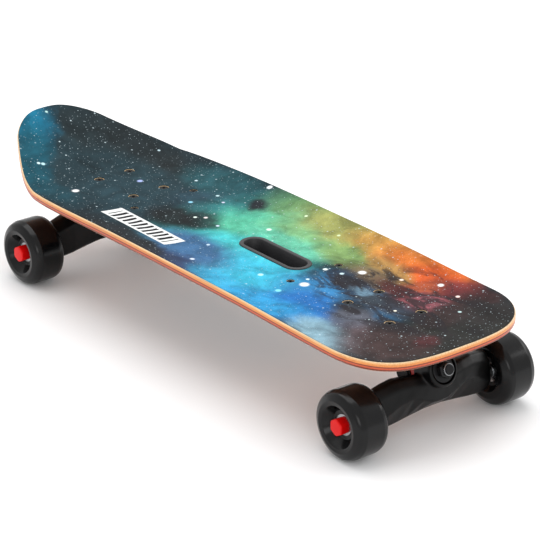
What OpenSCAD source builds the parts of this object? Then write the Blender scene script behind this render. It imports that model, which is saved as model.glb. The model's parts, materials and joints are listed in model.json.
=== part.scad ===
/* [Deck] */
// Overall length of the deck, nose tip to tail tip
deck_len = 708; // [690:1:880]
// Overall width of the deck
deck_w = 219; // [205:1:260]
// Thickness of the maple laminate
deck_t = 10; // [9:0.5:14]
// Thickness of the printed grip sheet
grip_t = 0.8; // [0.5:0.1:2]
// Half width of the flat floor between the two raised rails
floor_half_w = 60; // [50:1:70]
// Height of the rails above the floor, midway between the trucks
rail_rise_mid = 8; // [0:0.5:12]
// Height of the rails above the floor, at the nose and the tail
rail_rise_end = 4; // [0:0.5:8]
// Length of the rounded nose
nose_round = 78; // [50:1:100]
// Length of the rounded tail end
tail_round = 34; // [25:1:60]
// How much the half width narrows for each millimetre of tail
tail_taper = 0.64; // [0.4:0.01:0.7]
// Height of the tail tip above the flat deck
kick_rise = 42; // [10:1:60]
// Distance from the rear bolt pattern's centre to the start of the kick
kick_start = 42; // [40:1:60]

/* [Handle slot] */
// Length of the slot through the deck
slot_len = 96; // [90:1:110]
// Width of the slot through the deck
slot_w = 27; // [22:1:32]
// Distance of the slot's centre ahead of the deck's middle
slot_x = 66; // [50:1:70]
// Depth of the finger pocket below the deck
pocket_depth = 12; // [8:1:12]
// Wall of the pocket moulding
pocket_wall = 2; // [1.5:0.1:3]
// Width of the pocket's lip on the grip sheet
pocket_lip = 2.5; // [2:0.5:5]

/* [Trucks] */
// Distance from the nose tip to the front bolt pattern's centre
nose_overhang = 116; // [110:1:150]
// Distance from the tail tip to the rear bolt pattern's centre
tail_overhang = 168; // [150:1:180]
// Bolt spacing along the deck
bolt_pitch_x = 63.5; // [53.98, 63.5]
// Bolt spacing across the deck
bolt_pitch_y = 41.3; // [40:0.1:42]
// Truck bolt diameter
bolt_d = 5; // [4.5:0.1:5.2]
// Distance from the front bolt pattern's centre out to the axle
front_axle_out = 66; // [60:1:72]
// Distance from the rear bolt pattern's centre out to the axle
rear_axle_out = 52; // [48:1:72]
// Height from the axle up to the deck's underside
axle_drop = 60.2; // [58:0.2:70]
// Thickness of the riser pads
riser_t = 3; // [2:0.5:8]
// Thickness of the baseplate flange
plate_t = 6; // [5:0.5:8]
// Angle of the kingpin above the horizontal, rising outwards
kingpin_angle = 20; // [15:1:24]
// Kingpin diameter
kingpin_d = 10; // [8:0.1:10]
// Diameter of the urethane bushings
bushing_d = 25; // [22:0.5:26]
// Height of the bushing next to the baseplate
bushing_h = 12; // [10:0.5:13]
// Axle rod diameter
axle_d = 8; // [7.9:0.1:8]

/* [Wheels] */
// Wheel diameter
wheel_d = 72; // [68:1:76]
// Wheel width
wheel_w = 42; // [40:1:46]
// Distance between the outer faces of a pair of wheels
track_w = 236; // [230:1:244]
// Radius of the wheel's rounded shoulders
shoulder_r = 9; // [5:0.5:12]
// Depth of the dish in the outer face
dish_depth = 11; // [8:1:12]
// Diameter of the hub motor's can
can_d = 62; // [58:1:64]
// Width of the motor wheel
motor_w = 52; // [48:1:54]

/* [Enclosure] */
// Length of the underslung enclosure
tray_len = 283; // [275:1:290]
// Width of the enclosure against the deck
tray_w = 136; // [132:1:140]
// Height of the enclosure
tray_h = 27; // [26:0.5:32]
// Wall of the enclosure
tray_wall = 2.5; // [2:0.1:3.5]
// How much the enclosure narrows on each side towards its floor
tray_draft = 11; // [5:0.5:12]
// Thickness of the gasket under the deck
gasket_t = 1.5; // [1:0.1:3]
// Distance of the enclosure's rear wall behind the deck's middle
tray_back = 139; // [135:1:140]
// Battery cell diameter
cell_d = 18.4; // [18:0.1:18.6]
// Battery cell length
cell_len = 65; // [64:0.5:65]

/* [Hidden] */
$fn = 48;
eps = 0.01;
gap = 0.3;              // clearance between pieces that only sit side by side
run = 0.05;             // radial clearance of a running fit

// Heights, with the floor at zero
axle_z = wheel_d / 2;
under_z = axle_z + axle_drop;
deck_z = under_z + deck_t;
top_z = deck_z + grip_t;

// Places along the deck, with its middle at zero
nose_x = deck_len / 2;
tail_x = -deck_len / 2;
front_x = nose_x - nose_overhang;
rear_x = tail_x + tail_overhang;
kick_x = rear_x - kick_start;
kick_len = kick_x - tail_x;
taper_x = rear_x - 60;
taper_blend = 37;
kick_bend = 1.3;        // 1 is a sharp fold, 2 a slow sweep
concave_x = (front_x + rear_x) / 2;
concave_reach = 190;

lip_proud = 1.2;        // how far the slot's lip stands above the grip

// Truck fasteners
bolt_head_d = bolt_d + 4.6;
bolt_head_h = 3;
bolt_sunk = 1;          // how far a head lies below the grip
bolt_nut_af = 8;
bolt_nut_h = 5;
bolt_len = deck_t + grip_t + riser_t + plate_t + bolt_nut_h + 1;

// Deck grid
deck_stations = 46;
floor_share = floor_half_w / (deck_w / 2);
across = [-1, -0.94, -0.87, -0.79, -0.7, -floor_share, floor_share, 0.7, 0.79, 0.87, 0.94, 1];
end_t = 0.998;          // how far round its end curve the outline runs before it is cut blunt

function end_curve(t, power) = pow(1 - pow(min(max(t, 0), end_t), power), 1 / 3);
function narrowing(d) = tail_taper * (d + sqrt(d * d + taper_blend * taper_blend)) / 2;
function half_width(x) = (deck_w / 2 - narrowing(taper_x - x))
    * end_curve((x - nose_x + nose_round) / nose_round, 2.5)
    * end_curve((tail_x + tail_round - x) / tail_round, 2.1);
function rail_rise(x) = rail_rise_end
    + (rail_rise_mid - rail_rise_end) * exp(-pow((x - concave_x) / concave_reach, 4));
function concave(x, y) = rail_rise(x) * pow(max(abs(y) - floor_half_w, 0) / (deck_w / 2 - floor_half_w), 2);
function kick(x) = kick_rise * pow(max(kick_x - x, 0) / kick_len, kick_bend);
function lift(x, y) = concave(x, y) + kick(x);
function station(i) = tail_x + deck_len * (1 - cos(180 * i / deck_stations)) / 2;

// Kingpin axis of a truck, from the centre of the seat on the baseplate
seat_back = 14;         // seat's distance inboard of the axle
seat_up = 22;           // seat's height above the axle
boss_len = 18;
boss_r = 15;
seat_clear_r = 25;      // nothing of the baseplate stands in front of its seat within this
cup_t = 1.5;
cup_r = bushing_d / 2 + 0.5;
ring_from = cup_t + bushing_h;
ring_floor = ring_from + 15.5;
ring_to = ring_floor + 11;
ring_r = 18;
road_h = 9;
road_r = 12;
nut_from = ring_floor + road_h + cup_t;
nut_h = 6;
collar_h = 2.5;
head_h = 6.4;
hex_af = 16;
kingpin_end = nut_from + nut_h + collar_h + 1;

// Wheel stations, measured out from the deck's centre line
face_y = track_w / 2;
inner_y = face_y - wheel_w;
bearing_d = 22;
bearing_w = 7;
outer_bearing_y = face_y - dish_depth - bearing_w;
inner_bearing_y = inner_y + 7;
washer_t = 0.8;
axle_nut_h = 6.5;
axle_nut_af = 13;
cap_proud = 0.3;        // how far a cap stands out of the wheel's face
cap_len = face_y + cap_proud - outer_bearing_y - bearing_w - washer_t;
cap_d = 18;
cap_edge = 1.5;         // chamfer round a cap's end
axle_end_y = face_y - 2.6;
core_r = 14;
hanger_end_y = inner_y - 2;
stub_r = 7;
stub_end_y = inner_bearing_y - washer_t;

// Hub motor
motor_inner_y = face_y - motor_w;
shaft_d = 12;
motor_bearing_d = 28;
motor_bearing_w = 8;
end_plate_t = motor_bearing_w + 1;
can_wall = 3;
magnet_t = 2.5;
magnet_count = 14;
air_gap = 0.7;
stator_r = can_d / 2 - can_wall - magnet_t - air_gap;
cavity_from = motor_inner_y + motor_bearing_w;
cavity_to = face_y - dish_depth - end_plate_t;
stator_len = cavity_to - cavity_from - 6;
stator_y = (cavity_from + cavity_to - stator_len) / 2;
tooth_count = 12;
tooth_w = 4;
yoke_r = 14;

// Enclosure
tray_top = under_z - gasket_t;
tray_floor = tray_top - tray_h;
tray_x0 = -tray_back;
tray_x1 = tray_x0 + tray_len;
corner_r = 14;
flange_in = 8;
screw_d = 4;
screw_head_d = screw_d + 3.6;
screw_head_h = 2.7;
screw_sunk = 0.8;
screw_len = 28;
screw_boss_r = 4.5;
front_screw = [tray_x1 - 14, 32];
rear_screw = [tray_x0 + 13, 40];
cell_rows = 5;
cell_pitch = cell_d + 0.4;
holder_t = 2;
battery_x = rear_screw[0] + screw_boss_r + 2;
cell_z = tray_floor + tray_wall + 0.6 + cell_d / 2;
board_len = 78;
board_w = 32;
board_t = 1.6;
board_x = slot_x - 5;
board_y = slot_w / 2 + 3 + board_w / 2 + 3;
post_h = 3;
sink_h = 6;
esc_top = tray_floor + tray_wall + sink_h + board_t;
lead_d = 2.6;
lead_z = cell_z + 3;
lead_run = 11.5;
lead_bend = 3.5;
battery_end = battery_x + 2 * holder_t + 2 * cell_len + 0.5;
button_r = 8;
button_travel = 1.5;
button_proud = 1.7;     // out of the case's floor
button_in = 4.5;        // into the case
bezel_t = 1.2;
button_at = [tray_x1 - 26, 0];
port_at = [tray_x1 - 30, -27];
port_r = 6;
cap_r = 8;
cap_hinge_x = port_at[0] - cap_r - 2.5;
cap_hinge_z = tray_floor - gap - 1.9;
cap_pin_r = 1;
socket_bore_r = 3;
gland_z = tray_floor + tray_h / 2 - 3;

module deck_skin(low, high) {
    n = deck_stations;
    m = len(across);
    layer = (n + 1) * m;
    points = [for (z = [low, high], i = [0:n], v = across)
        let (x = station(i), y = v * half_width(x)) [x, y, lift(x, y) + z]];
    faces = concat(
        [for (i = [0:n - 1], j = [0:m - 2]) let (a = i * m + j) [a, a + 1, a + m + 1]],
        [for (i = [0:n - 1], j = [0:m - 2]) let (a = i * m + j) [a, a + m + 1, a + m]],
        [for (i = [0:n - 1], j = [0:m - 2]) let (a = layer + i * m + j) [a, a + m + 1, a + 1]],
        [for (i = [0:n - 1], j = [0:m - 2]) let (a = layer + i * m + j) [a, a + m, a + m + 1]],
        [for (i = [0:n - 1]) let (a = i * m) [a, a + m, a + layer + m, a + layer]],
        [for (i = [0:n - 1]) let (a = i * m + m - 1) [a, a + layer, a + layer + m, a + m]],
        [for (j = [0:m - 2]) [j, j + layer, j + layer + 1, j + 1]],
        [for (j = [0:m - 2]) let (a = n * m + j) [a, a + 1, a + layer + 1, a + layer]]);
    polyhedron(points, faces);
}

module stadium(l, w, h) {
    for (s = [-1, 1]) translate([s * (l - w) / 2, 0, 0]) cylinder(d = w, h = h);
    translate([-(l - w) / 2, -w / 2, 0]) cube([l - w, w, h]);
}

module plate(l, w, h, r) {
    linear_extrude(h) {
        square([l - 2 * r, w], center = true);
        square([l, w - 2 * r], center = true);
        for (i = [-1, 1], j = [-1, 1]) translate([i * (l / 2 - r), j * (w / 2 - r)]) circle(r);
    }
}

module hex(af, h) {
    cylinder(d = af / cos(30), h = h, $fn = 6);
}

module ring(r_out, r_in, h) {
    difference() {
        cylinder(r = r_out, h = h);
        translate([0, 0, -1]) cylinder(r = r_in, h = h + 2);
    }
}

// Puts a truck's pieces under the deck, with +X pointing outboard
module at_front() translate([front_x, 0, under_z]) children();
module at_rear() translate([rear_x, 0, under_z]) rotate([0, 0, 180]) children();

// Lays +Z along the kingpin, from the seat on the baseplate
module on_kingpin(axle_out) {
    translate([axle_out - seat_back, 0, seat_up - axle_drop]) rotate([0, 90 - kingpin_angle, 0]) children();
}

// Lays +Z outwards along an axle, side +1 to the left and -1 to the right
module on_axle(x, side, y) translate([x, side * y, axle_z]) rotate([-side * 90, 0, 0]) children();

module at_bolts() {
    for (i = [-1, 1], j = [-1, 1]) translate([i * bolt_pitch_x / 2, j * bolt_pitch_y / 2, 0]) children();
}

module at_tray_screws() {
    for (p = [front_screw, rear_screw], j = [-1, 1]) translate([p[0], j * p[1], 0]) children();
}

module deck_holes() {
    translate([slot_x, 0, under_z - 5]) stadium(slot_len + 2 * gap, slot_w + 2 * gap, deck_t + 20);
    for (x = [front_x, rear_x]) translate([x, 0, under_z - 5]) at_bolts() {
        cylinder(d = bolt_d + 0.4, h = deck_t + 20);
        translate([0, 0, 5 + deck_t + grip_t - bolt_sunk - bolt_head_h])
            cylinder(d = bolt_head_d + 1, h = 10);
    }
    at_tray_screws() {
        translate([0, 0, under_z - 5]) cylinder(d = screw_d + 0.6, h = deck_t + 20);
        translate([0, 0, top_z - screw_sunk - screw_head_h]) cylinder(d = screw_head_d + 1, h = 10);
    }
}

module deck() color("#d8884c") difference() {
    deck_skin(under_z, deck_z);
    deck_holes();
}

module grip_sheet() color("#2c5f78") difference() {
    deck_skin(deck_z, top_z);
    deck_holes();
    translate([slot_x, 0, deck_z - 1])
        stadium(slot_len + 2 * (pocket_lip + gap), slot_w + 2 * (pocket_lip + gap), grip_t + 5);
}

module handle_insert() color("#3b3b3b") difference() {
    union() {
        translate([slot_x, 0, under_z - pocket_depth])
            stadium(slot_len, slot_w, pocket_depth + deck_t + grip_t + lip_proud);
        translate([slot_x, 0, deck_z])
            stadium(slot_len + 2 * pocket_lip, slot_w + 2 * pocket_lip, grip_t + lip_proud);
    }
    translate([slot_x, 0, under_z - pocket_depth + pocket_wall])
        stadium(slot_len - 2 * pocket_wall, slot_w - 2 * pocket_wall, 60);
}

module riser() color("#1c1c1c") translate([0, 0, -riser_t]) difference() {
    plate(bolt_pitch_x + 23, bolt_pitch_y + 18, riser_t, 8);
    translate([0, 0, -1]) plate(bolt_pitch_x - 20, bolt_pitch_y - 14, riser_t + 2, 4);
    at_bolts() translate([0, 0, -1]) cylinder(d = bolt_d + 0.4, h = riser_t + 2);
}

module baseplate(axle_out) color("#222222") difference() {
    union() {
        translate([0, 0, -riser_t - plate_t]) plate(bolt_pitch_x + 20.5, bolt_pitch_y + 16, plate_t, 8);
        hull() {
            translate([axle_out - seat_back - 22, -11, -riser_t - plate_t]) cube([24, 22, 1]);
            on_kingpin(axle_out) translate([0, 0, -boss_len]) cylinder(r = boss_r, h = boss_len, $fn = 32);
        }
    }
    on_kingpin(axle_out) {
        translate([0, 0, -boss_len - 1]) cylinder(d = kingpin_d + 0.04, h = boss_len + 2);
        translate([0, 0, -boss_len - 14]) cylinder(r = 11, h = 14);
        cylinder(r = seat_clear_r, h = ring_from + 6);
    }
    at_bolts() translate([0, 0, -riser_t - plate_t - 1]) cylinder(d = bolt_d + 0.4, h = plate_t + 2);
    at_bolts() translate([0, 0, -riser_t - plate_t - 12]) cylinder(d = 11, h = 12);
}

module bolt_set() at_bolts() difference() {
    union() {
        translate([0, 0, deck_t + grip_t - bolt_sunk - bolt_len]) cylinder(d = bolt_d, h = bolt_len);
        translate([0, 0, deck_t + grip_t - bolt_sunk - bolt_head_h])
            cylinder(d = bolt_head_d, h = bolt_head_h);
    }
    translate([0, 0, deck_t + grip_t - bolt_sunk - 2]) hex(3.2, 3);
}

module nut_set() at_bolts() translate([0, 0, -riser_t - plate_t - bolt_nut_h]) difference() {
    hex(bolt_nut_af, bolt_nut_h);
    translate([0, 0, -1]) cylinder(d = bolt_d, h = bolt_nut_h + 2);
}

module truck_bolts() color("#191919") {
    at_front() bolt_set();
    at_rear() bolt_set();
}

module truck_nuts() color("silver") {
    at_front() nut_set();
    at_rear() nut_set();
}

module kingpin(axle_out) on_kingpin(axle_out) {
    translate([0, 0, -boss_len - head_h]) hex(hex_af, head_h);
    translate([0, 0, -boss_len]) cylinder(d = kingpin_d, h = boss_len + kingpin_end);
}

module kingpins() color("#8a8a8a") {
    at_front() kingpin(front_axle_out);
    at_rear() kingpin(rear_axle_out);
}

module kingpin_nut(axle_out) on_kingpin(axle_out) translate([0, 0, nut_from]) difference() {
    union() {
        hex(hex_af, nut_h);
        cylinder(d = hex_af - 2, h = nut_h + collar_h);
    }
    translate([0, 0, -1]) cylinder(d = kingpin_d, h = nut_h + collar_h + 2);
}

module kingpin_nuts() color("silver") {
    at_front() kingpin_nut(front_axle_out);
    at_rear() kingpin_nut(rear_axle_out);
}

module cup_pair(axle_out) on_kingpin(axle_out) {
    ring(cup_r, kingpin_d / 2 + run, cup_t);
    translate([0, 0, nut_from - cup_t]) ring(cup_r, kingpin_d / 2 + run, cup_t);
}

module cup_washers() color("#303030") {
    at_front() cup_pair(front_axle_out);
    at_rear() cup_pair(rear_axle_out);
}

module red_bushing(axle_out) color("#c8281e") on_kingpin(axle_out) translate([0, 0, cup_t])
    ring(bushing_d / 2, kingpin_d / 2 + 0.2, bushing_h - run);
module road_bushing(axle_out) color("#1a1a1a") on_kingpin(axle_out) translate([0, 0, ring_floor + run])
    ring(road_r, kingpin_d / 2 + 0.2, road_h - run);

// One wing of a hanger, from the ring round the kingpin out to the wheel
module wing(axle_out, side, end_y) {
    hull() {
        on_kingpin(axle_out) translate([0, 0, ring_from + 2]) cylinder(r = ring_r - 1, h = 20, $fn = 32);
        translate([axle_out + 6, 0, -axle_drop - 1]) rotate([90, 0, 0])
            cylinder(r = 11, h = 20, center = true, $fn = 32);
        translate([axle_out, side * (end_y - 2), -axle_drop]) rotate([90, 0, 0])
            cylinder(r = 11, h = 4, center = true, $fn = 32);
        translate([axle_out + 8, side * (end_y - 3), -axle_drop + 16]) rotate([90, 0, 0])
            cylinder(r = 7, h = 6, center = true, $fn = 32);
    }
}

module hanger(axle_out, left_y, right_y, left_stub) color("#262626") difference() {
    union() {
        wing(axle_out, 1, left_y);
        wing(axle_out, -1, right_y);
        on_kingpin(axle_out) translate([0, 0, ring_from]) cylinder(r = ring_r, h = ring_to - ring_from);
        translate([axle_out, -stub_end_y, -axle_drop]) rotate([-90, 0, 0])
            cylinder(r = stub_r, h = stub_end_y + left_stub);
    }
    on_kingpin(axle_out) {
        translate([0, 0, ring_from - 10]) cylinder(r = kingpin_d / 2 + 2, h = 60);
        translate([0, 0, ring_from - 30]) cylinder(r = bushing_d / 2 + 2, h = 30);
        translate([0, 0, ring_floor]) cylinder(r = cup_r + 1, h = 30);
    }
    translate([axle_out, -200, -axle_drop]) rotate([-90, 0, 0]) cylinder(d = axle_d, h = 400);
}

module hanger_sleeve(axle_out) color("#d8d4c8") on_kingpin(axle_out) translate([0, 0, ring_from])
    ring(kingpin_d / 2 + 2, kingpin_d / 2 + run, ring_floor - ring_from);

module front_hanger() at_front() hanger(front_axle_out, hanger_end_y, hanger_end_y, stub_end_y);

// Turned round and mirrored, so that the shorter wing is on the deck's left, beside the motor
module rear_hanger() at_rear() mirror([0, 1, 0])
    hanger(rear_axle_out, motor_inner_y - 2, hanger_end_y, motor_inner_y - 1);

module axle_rod(x) color("#9a9a9a") on_axle(x, 1, -axle_end_y) cylinder(d = axle_d, h = 2 * axle_end_y);

module speed_washers(x, sides) color("silver") {
    for (s = [-1, 1]) on_axle(x, s, outer_bearing_y + bearing_w + run)
        ring(bearing_d / 2, axle_d / 2 + run, washer_t - run);
    for (s = sides) on_axle(x, s, stub_end_y) ring(stub_r, axle_d / 2 + run, washer_t - run);
}

module axle_nuts(x) color("silver") for (s = [-1, 1])
    on_axle(x, s, outer_bearing_y + bearing_w + washer_t) difference() {
        hex(axle_nut_af, axle_nut_h);
        translate([0, 0, -1]) cylinder(d = axle_d, h = axle_nut_h + 2);
    }

module axle_caps(x) color("#e01010") for (s = [-1, 1])
    on_axle(x, s, outer_bearing_y + bearing_w + washer_t) difference() {
        union() {
            cylinder(d = cap_d, h = cap_len - cap_edge);
            translate([0, 0, cap_len - cap_edge])
                cylinder(d1 = cap_d, d2 = cap_d - 2 * cap_edge, h = cap_edge);
        }
        translate([0, 0, -1]) hex(axle_nut_af + 0.4, 1.5 + axle_nut_h);
        translate([0, 0, -1]) cylinder(d = axle_d + 0.4, h = cap_len - 0.6);
    }

// Half section of a wheel, with x as the radius and y as the distance in from the outer face
module wheel_section(w, bore_r) {
    r = wheel_d / 2;
    difference() {
        union() {
            translate([0, shoulder_r]) square([r, w - 2 * shoulder_r]);
            square([r - shoulder_r, w]);
            translate([r - shoulder_r, shoulder_r]) circle(shoulder_r);
            translate([r - shoulder_r, w - shoulder_r]) circle(shoulder_r);
        }
        translate([-shoulder_r, -1]) square([bore_r + shoulder_r, w + 2]);
    }
}

module wheel(x, side) color("#1b1b1d") on_axle(x, side, inner_y) difference() {
    rotate_extrude($fn = 96) wheel_section(wheel_w, 8);
    translate([0, 0, wheel_w - dish_depth - bearing_w]) cylinder(d = bearing_d, h = wheel_w);
    translate([0, 0, wheel_w - dish_depth]) cylinder(r1 = core_r + 1, r2 = 21.5, h = dish_depth + eps);
    translate([0, 0, -1]) cylinder(d = bearing_d, h = 1 + inner_bearing_y - inner_y + bearing_w);
    translate([0, 0, -eps]) cylinder(r1 = 19, r2 = core_r, h = inner_bearing_y - inner_y);
}

module bearings(x, side) color("#b8b8b8")
    for (y = [inner_bearing_y, outer_bearing_y]) on_axle(x, side, y)
        ring(bearing_d / 2, axle_d / 2 + run, bearing_w);

module spacer(x, side) color("silver") on_axle(x, side, inner_bearing_y + bearing_w)
    ring(6, axle_d / 2 + run, outer_bearing_y - inner_bearing_y - bearing_w);

module motor_tyre() color("#1b1b1d") on_axle(rear_x - rear_axle_out, 1, motor_inner_y)
    rotate_extrude($fn = 96) wheel_section(motor_w, can_d / 2);

module motor_can() color("#3a3a3c") on_axle(rear_x - rear_axle_out, 1, motor_inner_y) difference() {
    cylinder(d = can_d, h = motor_w - dish_depth);
    translate([0, 0, -1]) cylinder(r = can_d / 2 - can_wall, h = 1 + motor_w - dish_depth - end_plate_t);
    translate([0, 0, motor_w - dish_depth - motor_bearing_w - 1])
        cylinder(d = motor_bearing_d, h = motor_bearing_w + 2);
}

module motor_cover() color("#3a3a3c") on_axle(rear_x - rear_axle_out, 1, motor_inner_y)
    ring(can_d / 2 - can_wall, motor_bearing_d / 2, motor_bearing_w);

module motor_magnets() color("#aab0b8") on_axle(rear_x - rear_axle_out, 1, stator_y)
    for (i = [0:magnet_count - 1]) rotate([0, 0, i * 360 / magnet_count]) intersection() {
        difference() {
            cylinder(r = can_d / 2 - can_wall, h = stator_len);
            translate([0, 0, -1]) cylinder(r = can_d / 2 - can_wall - magnet_t, h = stator_len + 2);
        }
        translate([0, -4.5, 0]) cube([can_d, 9, stator_len]);
    }

module motor_bearings() color("#b8b8b8") {
    on_axle(rear_x - rear_axle_out, 1, motor_inner_y)
        ring(motor_bearing_d / 2, shaft_d / 2 + run, motor_bearing_w);
    on_axle(rear_x - rear_axle_out, 1, face_y - dish_depth - motor_bearing_w - 1)
        ring(motor_bearing_d / 2, shaft_d / 2 + run, motor_bearing_w);
}

module motor_shaft() color("#9a9a9a") on_axle(rear_x - rear_axle_out, 1, motor_inner_y - 1)
    ring(shaft_d / 2, axle_d / 2, outer_bearing_y + bearing_w - motor_inner_y + 1);

module motor_stator() color("#707478") on_axle(rear_x - rear_axle_out, 1, stator_y)
    difference() {
        union() {
            cylinder(r = yoke_r, h = stator_len);
            intersection() {
                cylinder(r = stator_r, h = stator_len);
                for (i = [0:tooth_count - 1]) rotate([0, 0, i * 360 / tooth_count])
                    translate([0, -tooth_w / 2, 0]) cube([stator_r + 1, tooth_w, stator_len]);
            }
        }
        translate([0, 0, -1]) cylinder(r = shaft_d / 2, h = stator_len + 2);
    }

module motor_windings() color("#b06a30") on_axle(rear_x - rear_axle_out, 1, stator_y)
    for (i = [0:tooth_count - 1]) rotate([0, 0, i * 360 / tooth_count]) difference() {
        translate([yoke_r + 2.2, -tooth_w / 2 - 1.6, -2])
            cube([stator_r - yoke_r - 4, tooth_w + 3.2, stator_len + 4]);
        translate([yoke_r, -tooth_w / 2 - 0.1, -0.1]) cube([stator_r, tooth_w + 0.2, stator_len + 0.2]);
    }

module tray_block(inset, floor_inset, z0, h) {
    x0 = tray_x0 + inset;
    x1 = tray_x1 - inset;
    hull() for (j = [-1, 1]) {
        for (x = [x0 + corner_r, x1 - corner_r])
            translate([x, j * (tray_w / 2 - inset - corner_r), z0 + h - 1])
                cylinder(r = corner_r, h = 1, $fn = 32);
        translate([x0 + corner_r, j * (tray_w / 2 - inset - floor_inset - corner_r), z0])
            cylinder(r = corner_r, h = 1, $fn = 32);
        translate([x1 - floor_inset - corner_r, j * (tray_w / 2 - inset - floor_inset - corner_r), z0])
            cylinder(r = corner_r, h = 1, $fn = 32);
    }
}

module tray() color("#202022") difference() {
    union() {
        difference() {
            tray_block(0, tray_draft, tray_floor, tray_h);
            tray_block(tray_wall, tray_draft, tray_floor + tray_wall, tray_h);
        }
        intersection() {
            tray_block(0, tray_draft, tray_floor, tray_h);
            at_tray_screws() translate([0, 0, tray_floor]) cylinder(r = screw_boss_r, h = tray_h);
        }
        translate([board_x, -board_y, tray_floor + tray_wall - eps]) for (i = [-1, 1], j = [-1, 1])
            translate([i * (board_len / 2 - 4), j * (board_w / 2 - 4), 0])
                cylinder(r = 2.5, h = post_h + eps);
        for (j = [-1, 1]) translate([cap_hinge_x - 2.5, port_at[1] + j * 4.5 - 1, tray_floor - 4])
            cube([5, 2, 4 + eps]);
        translate([cap_hinge_x, port_at[1] - 4.5, cap_hinge_z]) rotate([-90, 0, 0])
            cylinder(r = cap_pin_r, h = 9);
    }
    at_tray_screws() translate([0, 0, top_z - screw_sunk - screw_len - 1])
        cylinder(d = screw_d, h = tray_h);
    translate([button_at[0], button_at[1], tray_floor - 1]) cylinder(r = button_r + gap, h = tray_wall + 2);
    translate([port_at[0], port_at[1], tray_floor - 1]) cylinder(r = port_r, h = tray_wall + 2);
    translate([tray_x0 - 1, 0, gland_z]) rotate([0, 90, 0]) cylinder(r = 6, h = tray_wall + 2);
}

module tray_gasket() color("#101010") translate([(tray_x0 + tray_x1) / 2, 0, tray_top]) difference() {
    plate(tray_len, tray_w, gasket_t, corner_r);
    translate([0, 0, -1])
        plate(tray_len - 2 * flange_in, tray_w - 2 * flange_in, gasket_t + 2, corner_r - flange_in);
}

module tray_screws() color("#191919") at_tray_screws() difference() {
    union() {
        translate([0, 0, top_z - screw_sunk - screw_len]) cylinder(d = screw_d, h = screw_len);
        translate([0, 0, top_z - screw_sunk - screw_head_h]) cylinder(d = screw_head_d, h = screw_head_h);
    }
    translate([0, 0, top_z - screw_sunk - 1.8]) hex(2.5, 3);
}

module at_cells() for (i = [0, 1], j = [0:cell_rows - 1])
    translate([battery_x + holder_t + i * (cell_len + 0.5), (j - (cell_rows - 1) / 2) * cell_pitch, cell_z])
        rotate([0, 90, 0]) children();

module battery_cells() color("#3a7a4a") at_cells() cylinder(d = cell_d, h = cell_len);

module cell_holders() color("#202020")
    for (x = [battery_x, battery_end - holder_t])
        translate([x, -cell_rows * cell_pitch / 2, tray_floor + tray_wall])
            cube([holder_t, cell_rows * cell_pitch, cell_d + 1]);

module bms_board() color("#1f6b3a") translate([board_x, -board_y, tray_floor + tray_wall + post_h]) {
    translate([-board_len / 2, -board_w / 2, 0]) cube([board_len, board_w, board_t]);
    for (i = [-2:2]) translate([i * 13 - 3, -4, board_t - eps]) cube([6, 8, 2.5]);
}

module esc_heatsink() color("#a8adb2") translate([board_x, board_y, tray_floor + tray_wall]) {
    translate([-board_len / 2, -board_w / 2, 0]) cube([board_len, board_w, 2]);
    for (i = [-5:5]) translate([i * 7 - 1, -board_w / 2, 2 - eps]) cube([2, board_w, sink_h - 2 + eps]);
}

module esc_board() color("#1f4b7a") translate([board_x, board_y, tray_floor + tray_wall + sink_h]) {
    translate([-board_len / 2, -board_w / 2, 0]) cube([board_len, board_w, board_t]);
    for (i = [-2:3]) translate([i * 11 - 8, -12, board_t - eps]) cube([7, 10, 3]);
    for (i = [-1:1]) translate([i * 14 + 8, 9, board_t - eps]) cylinder(d = 9, h = 9);
}

// A lead from the cell holder, along the deck and down on to the controller
module lead(y) translate([battery_end, y, lead_z]) {
    rotate([0, 90, 0]) cylinder(d = lead_d, h = lead_run);
    translate([lead_run, 0, -lead_bend]) rotate([90, 0, 0]) rotate_extrude(angle = 90)
        translate([lead_bend, 0]) circle(d = lead_d);
    translate([lead_run + lead_bend, 0, esc_top - lead_z])
        cylinder(d = lead_d, h = lead_z - lead_bend - esc_top);
}

module battery_leads() {
    color("#c02020") lead(board_y + 3);
    color("#101010") lead(board_y + 8);
}

module power_button() color("#c0c4c8") translate([button_at[0], button_at[1], tray_floor]) {
    translate([0, 0, -button_proud]) cylinder(r = button_r, h = button_proud + button_in);
    translate([0, 0, tray_wall + gap]) cylinder(r = button_r + 1.5, h = 1.5);
}

module power_switch() color("#151515")
    translate([button_at[0], button_at[1], tray_floor + button_in + button_travel + gap])
        cylinder(r = button_r - 1, h = 7);

module button_bezel() color("#3a3a3a") translate([button_at[0], button_at[1], tray_floor - bezel_t])
    ring(button_r + 3, button_r + gap, bezel_t);

module charge_socket() color("#151515") translate([port_at[0], port_at[1], tray_floor]) difference() {
    cylinder(r = port_r, h = 11);
    translate([0, 0, -1]) cylinder(r = socket_bore_r, h = 10.5);
}

module charge_cap() color("#0c0c0c") difference() {
    union() {
        translate([port_at[0], port_at[1], tray_floor - gap - 2]) cylinder(r = cap_r, h = 2);
        translate([port_at[0], port_at[1], tray_floor - gap - eps])
            cylinder(r = socket_bore_r - 0.8, h = 2);
        translate([cap_hinge_x, port_at[1] - 3, tray_floor - gap - 2]) cube([6, 6, 2]);
        translate([cap_hinge_x, port_at[1] - 3.2, cap_hinge_z]) rotate([-90, 0, 0])
            cylinder(r = 1.9, h = 6.4);
    }
    translate([cap_hinge_x, port_at[1] - 10, cap_hinge_z]) rotate([-90, 0, 0])
        cylinder(r = cap_pin_r + run, h = 20);
}

module motor_gland() color("#151515") translate([tray_x0, 0, gland_z]) rotate([0, -90, 0]) difference() {
    union() {
        translate([0, 0, -tray_wall - 3]) cylinder(r = 6, h = tray_wall + 3 + 8);
        hex(15, 4);
    }
    translate([0, 0, -tray_wall - 4]) cylinder(r = 3.5, h = 20);
}

front_axle_x = front_x + front_axle_out;
rear_axle_x = rear_x - rear_axle_out;

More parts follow.
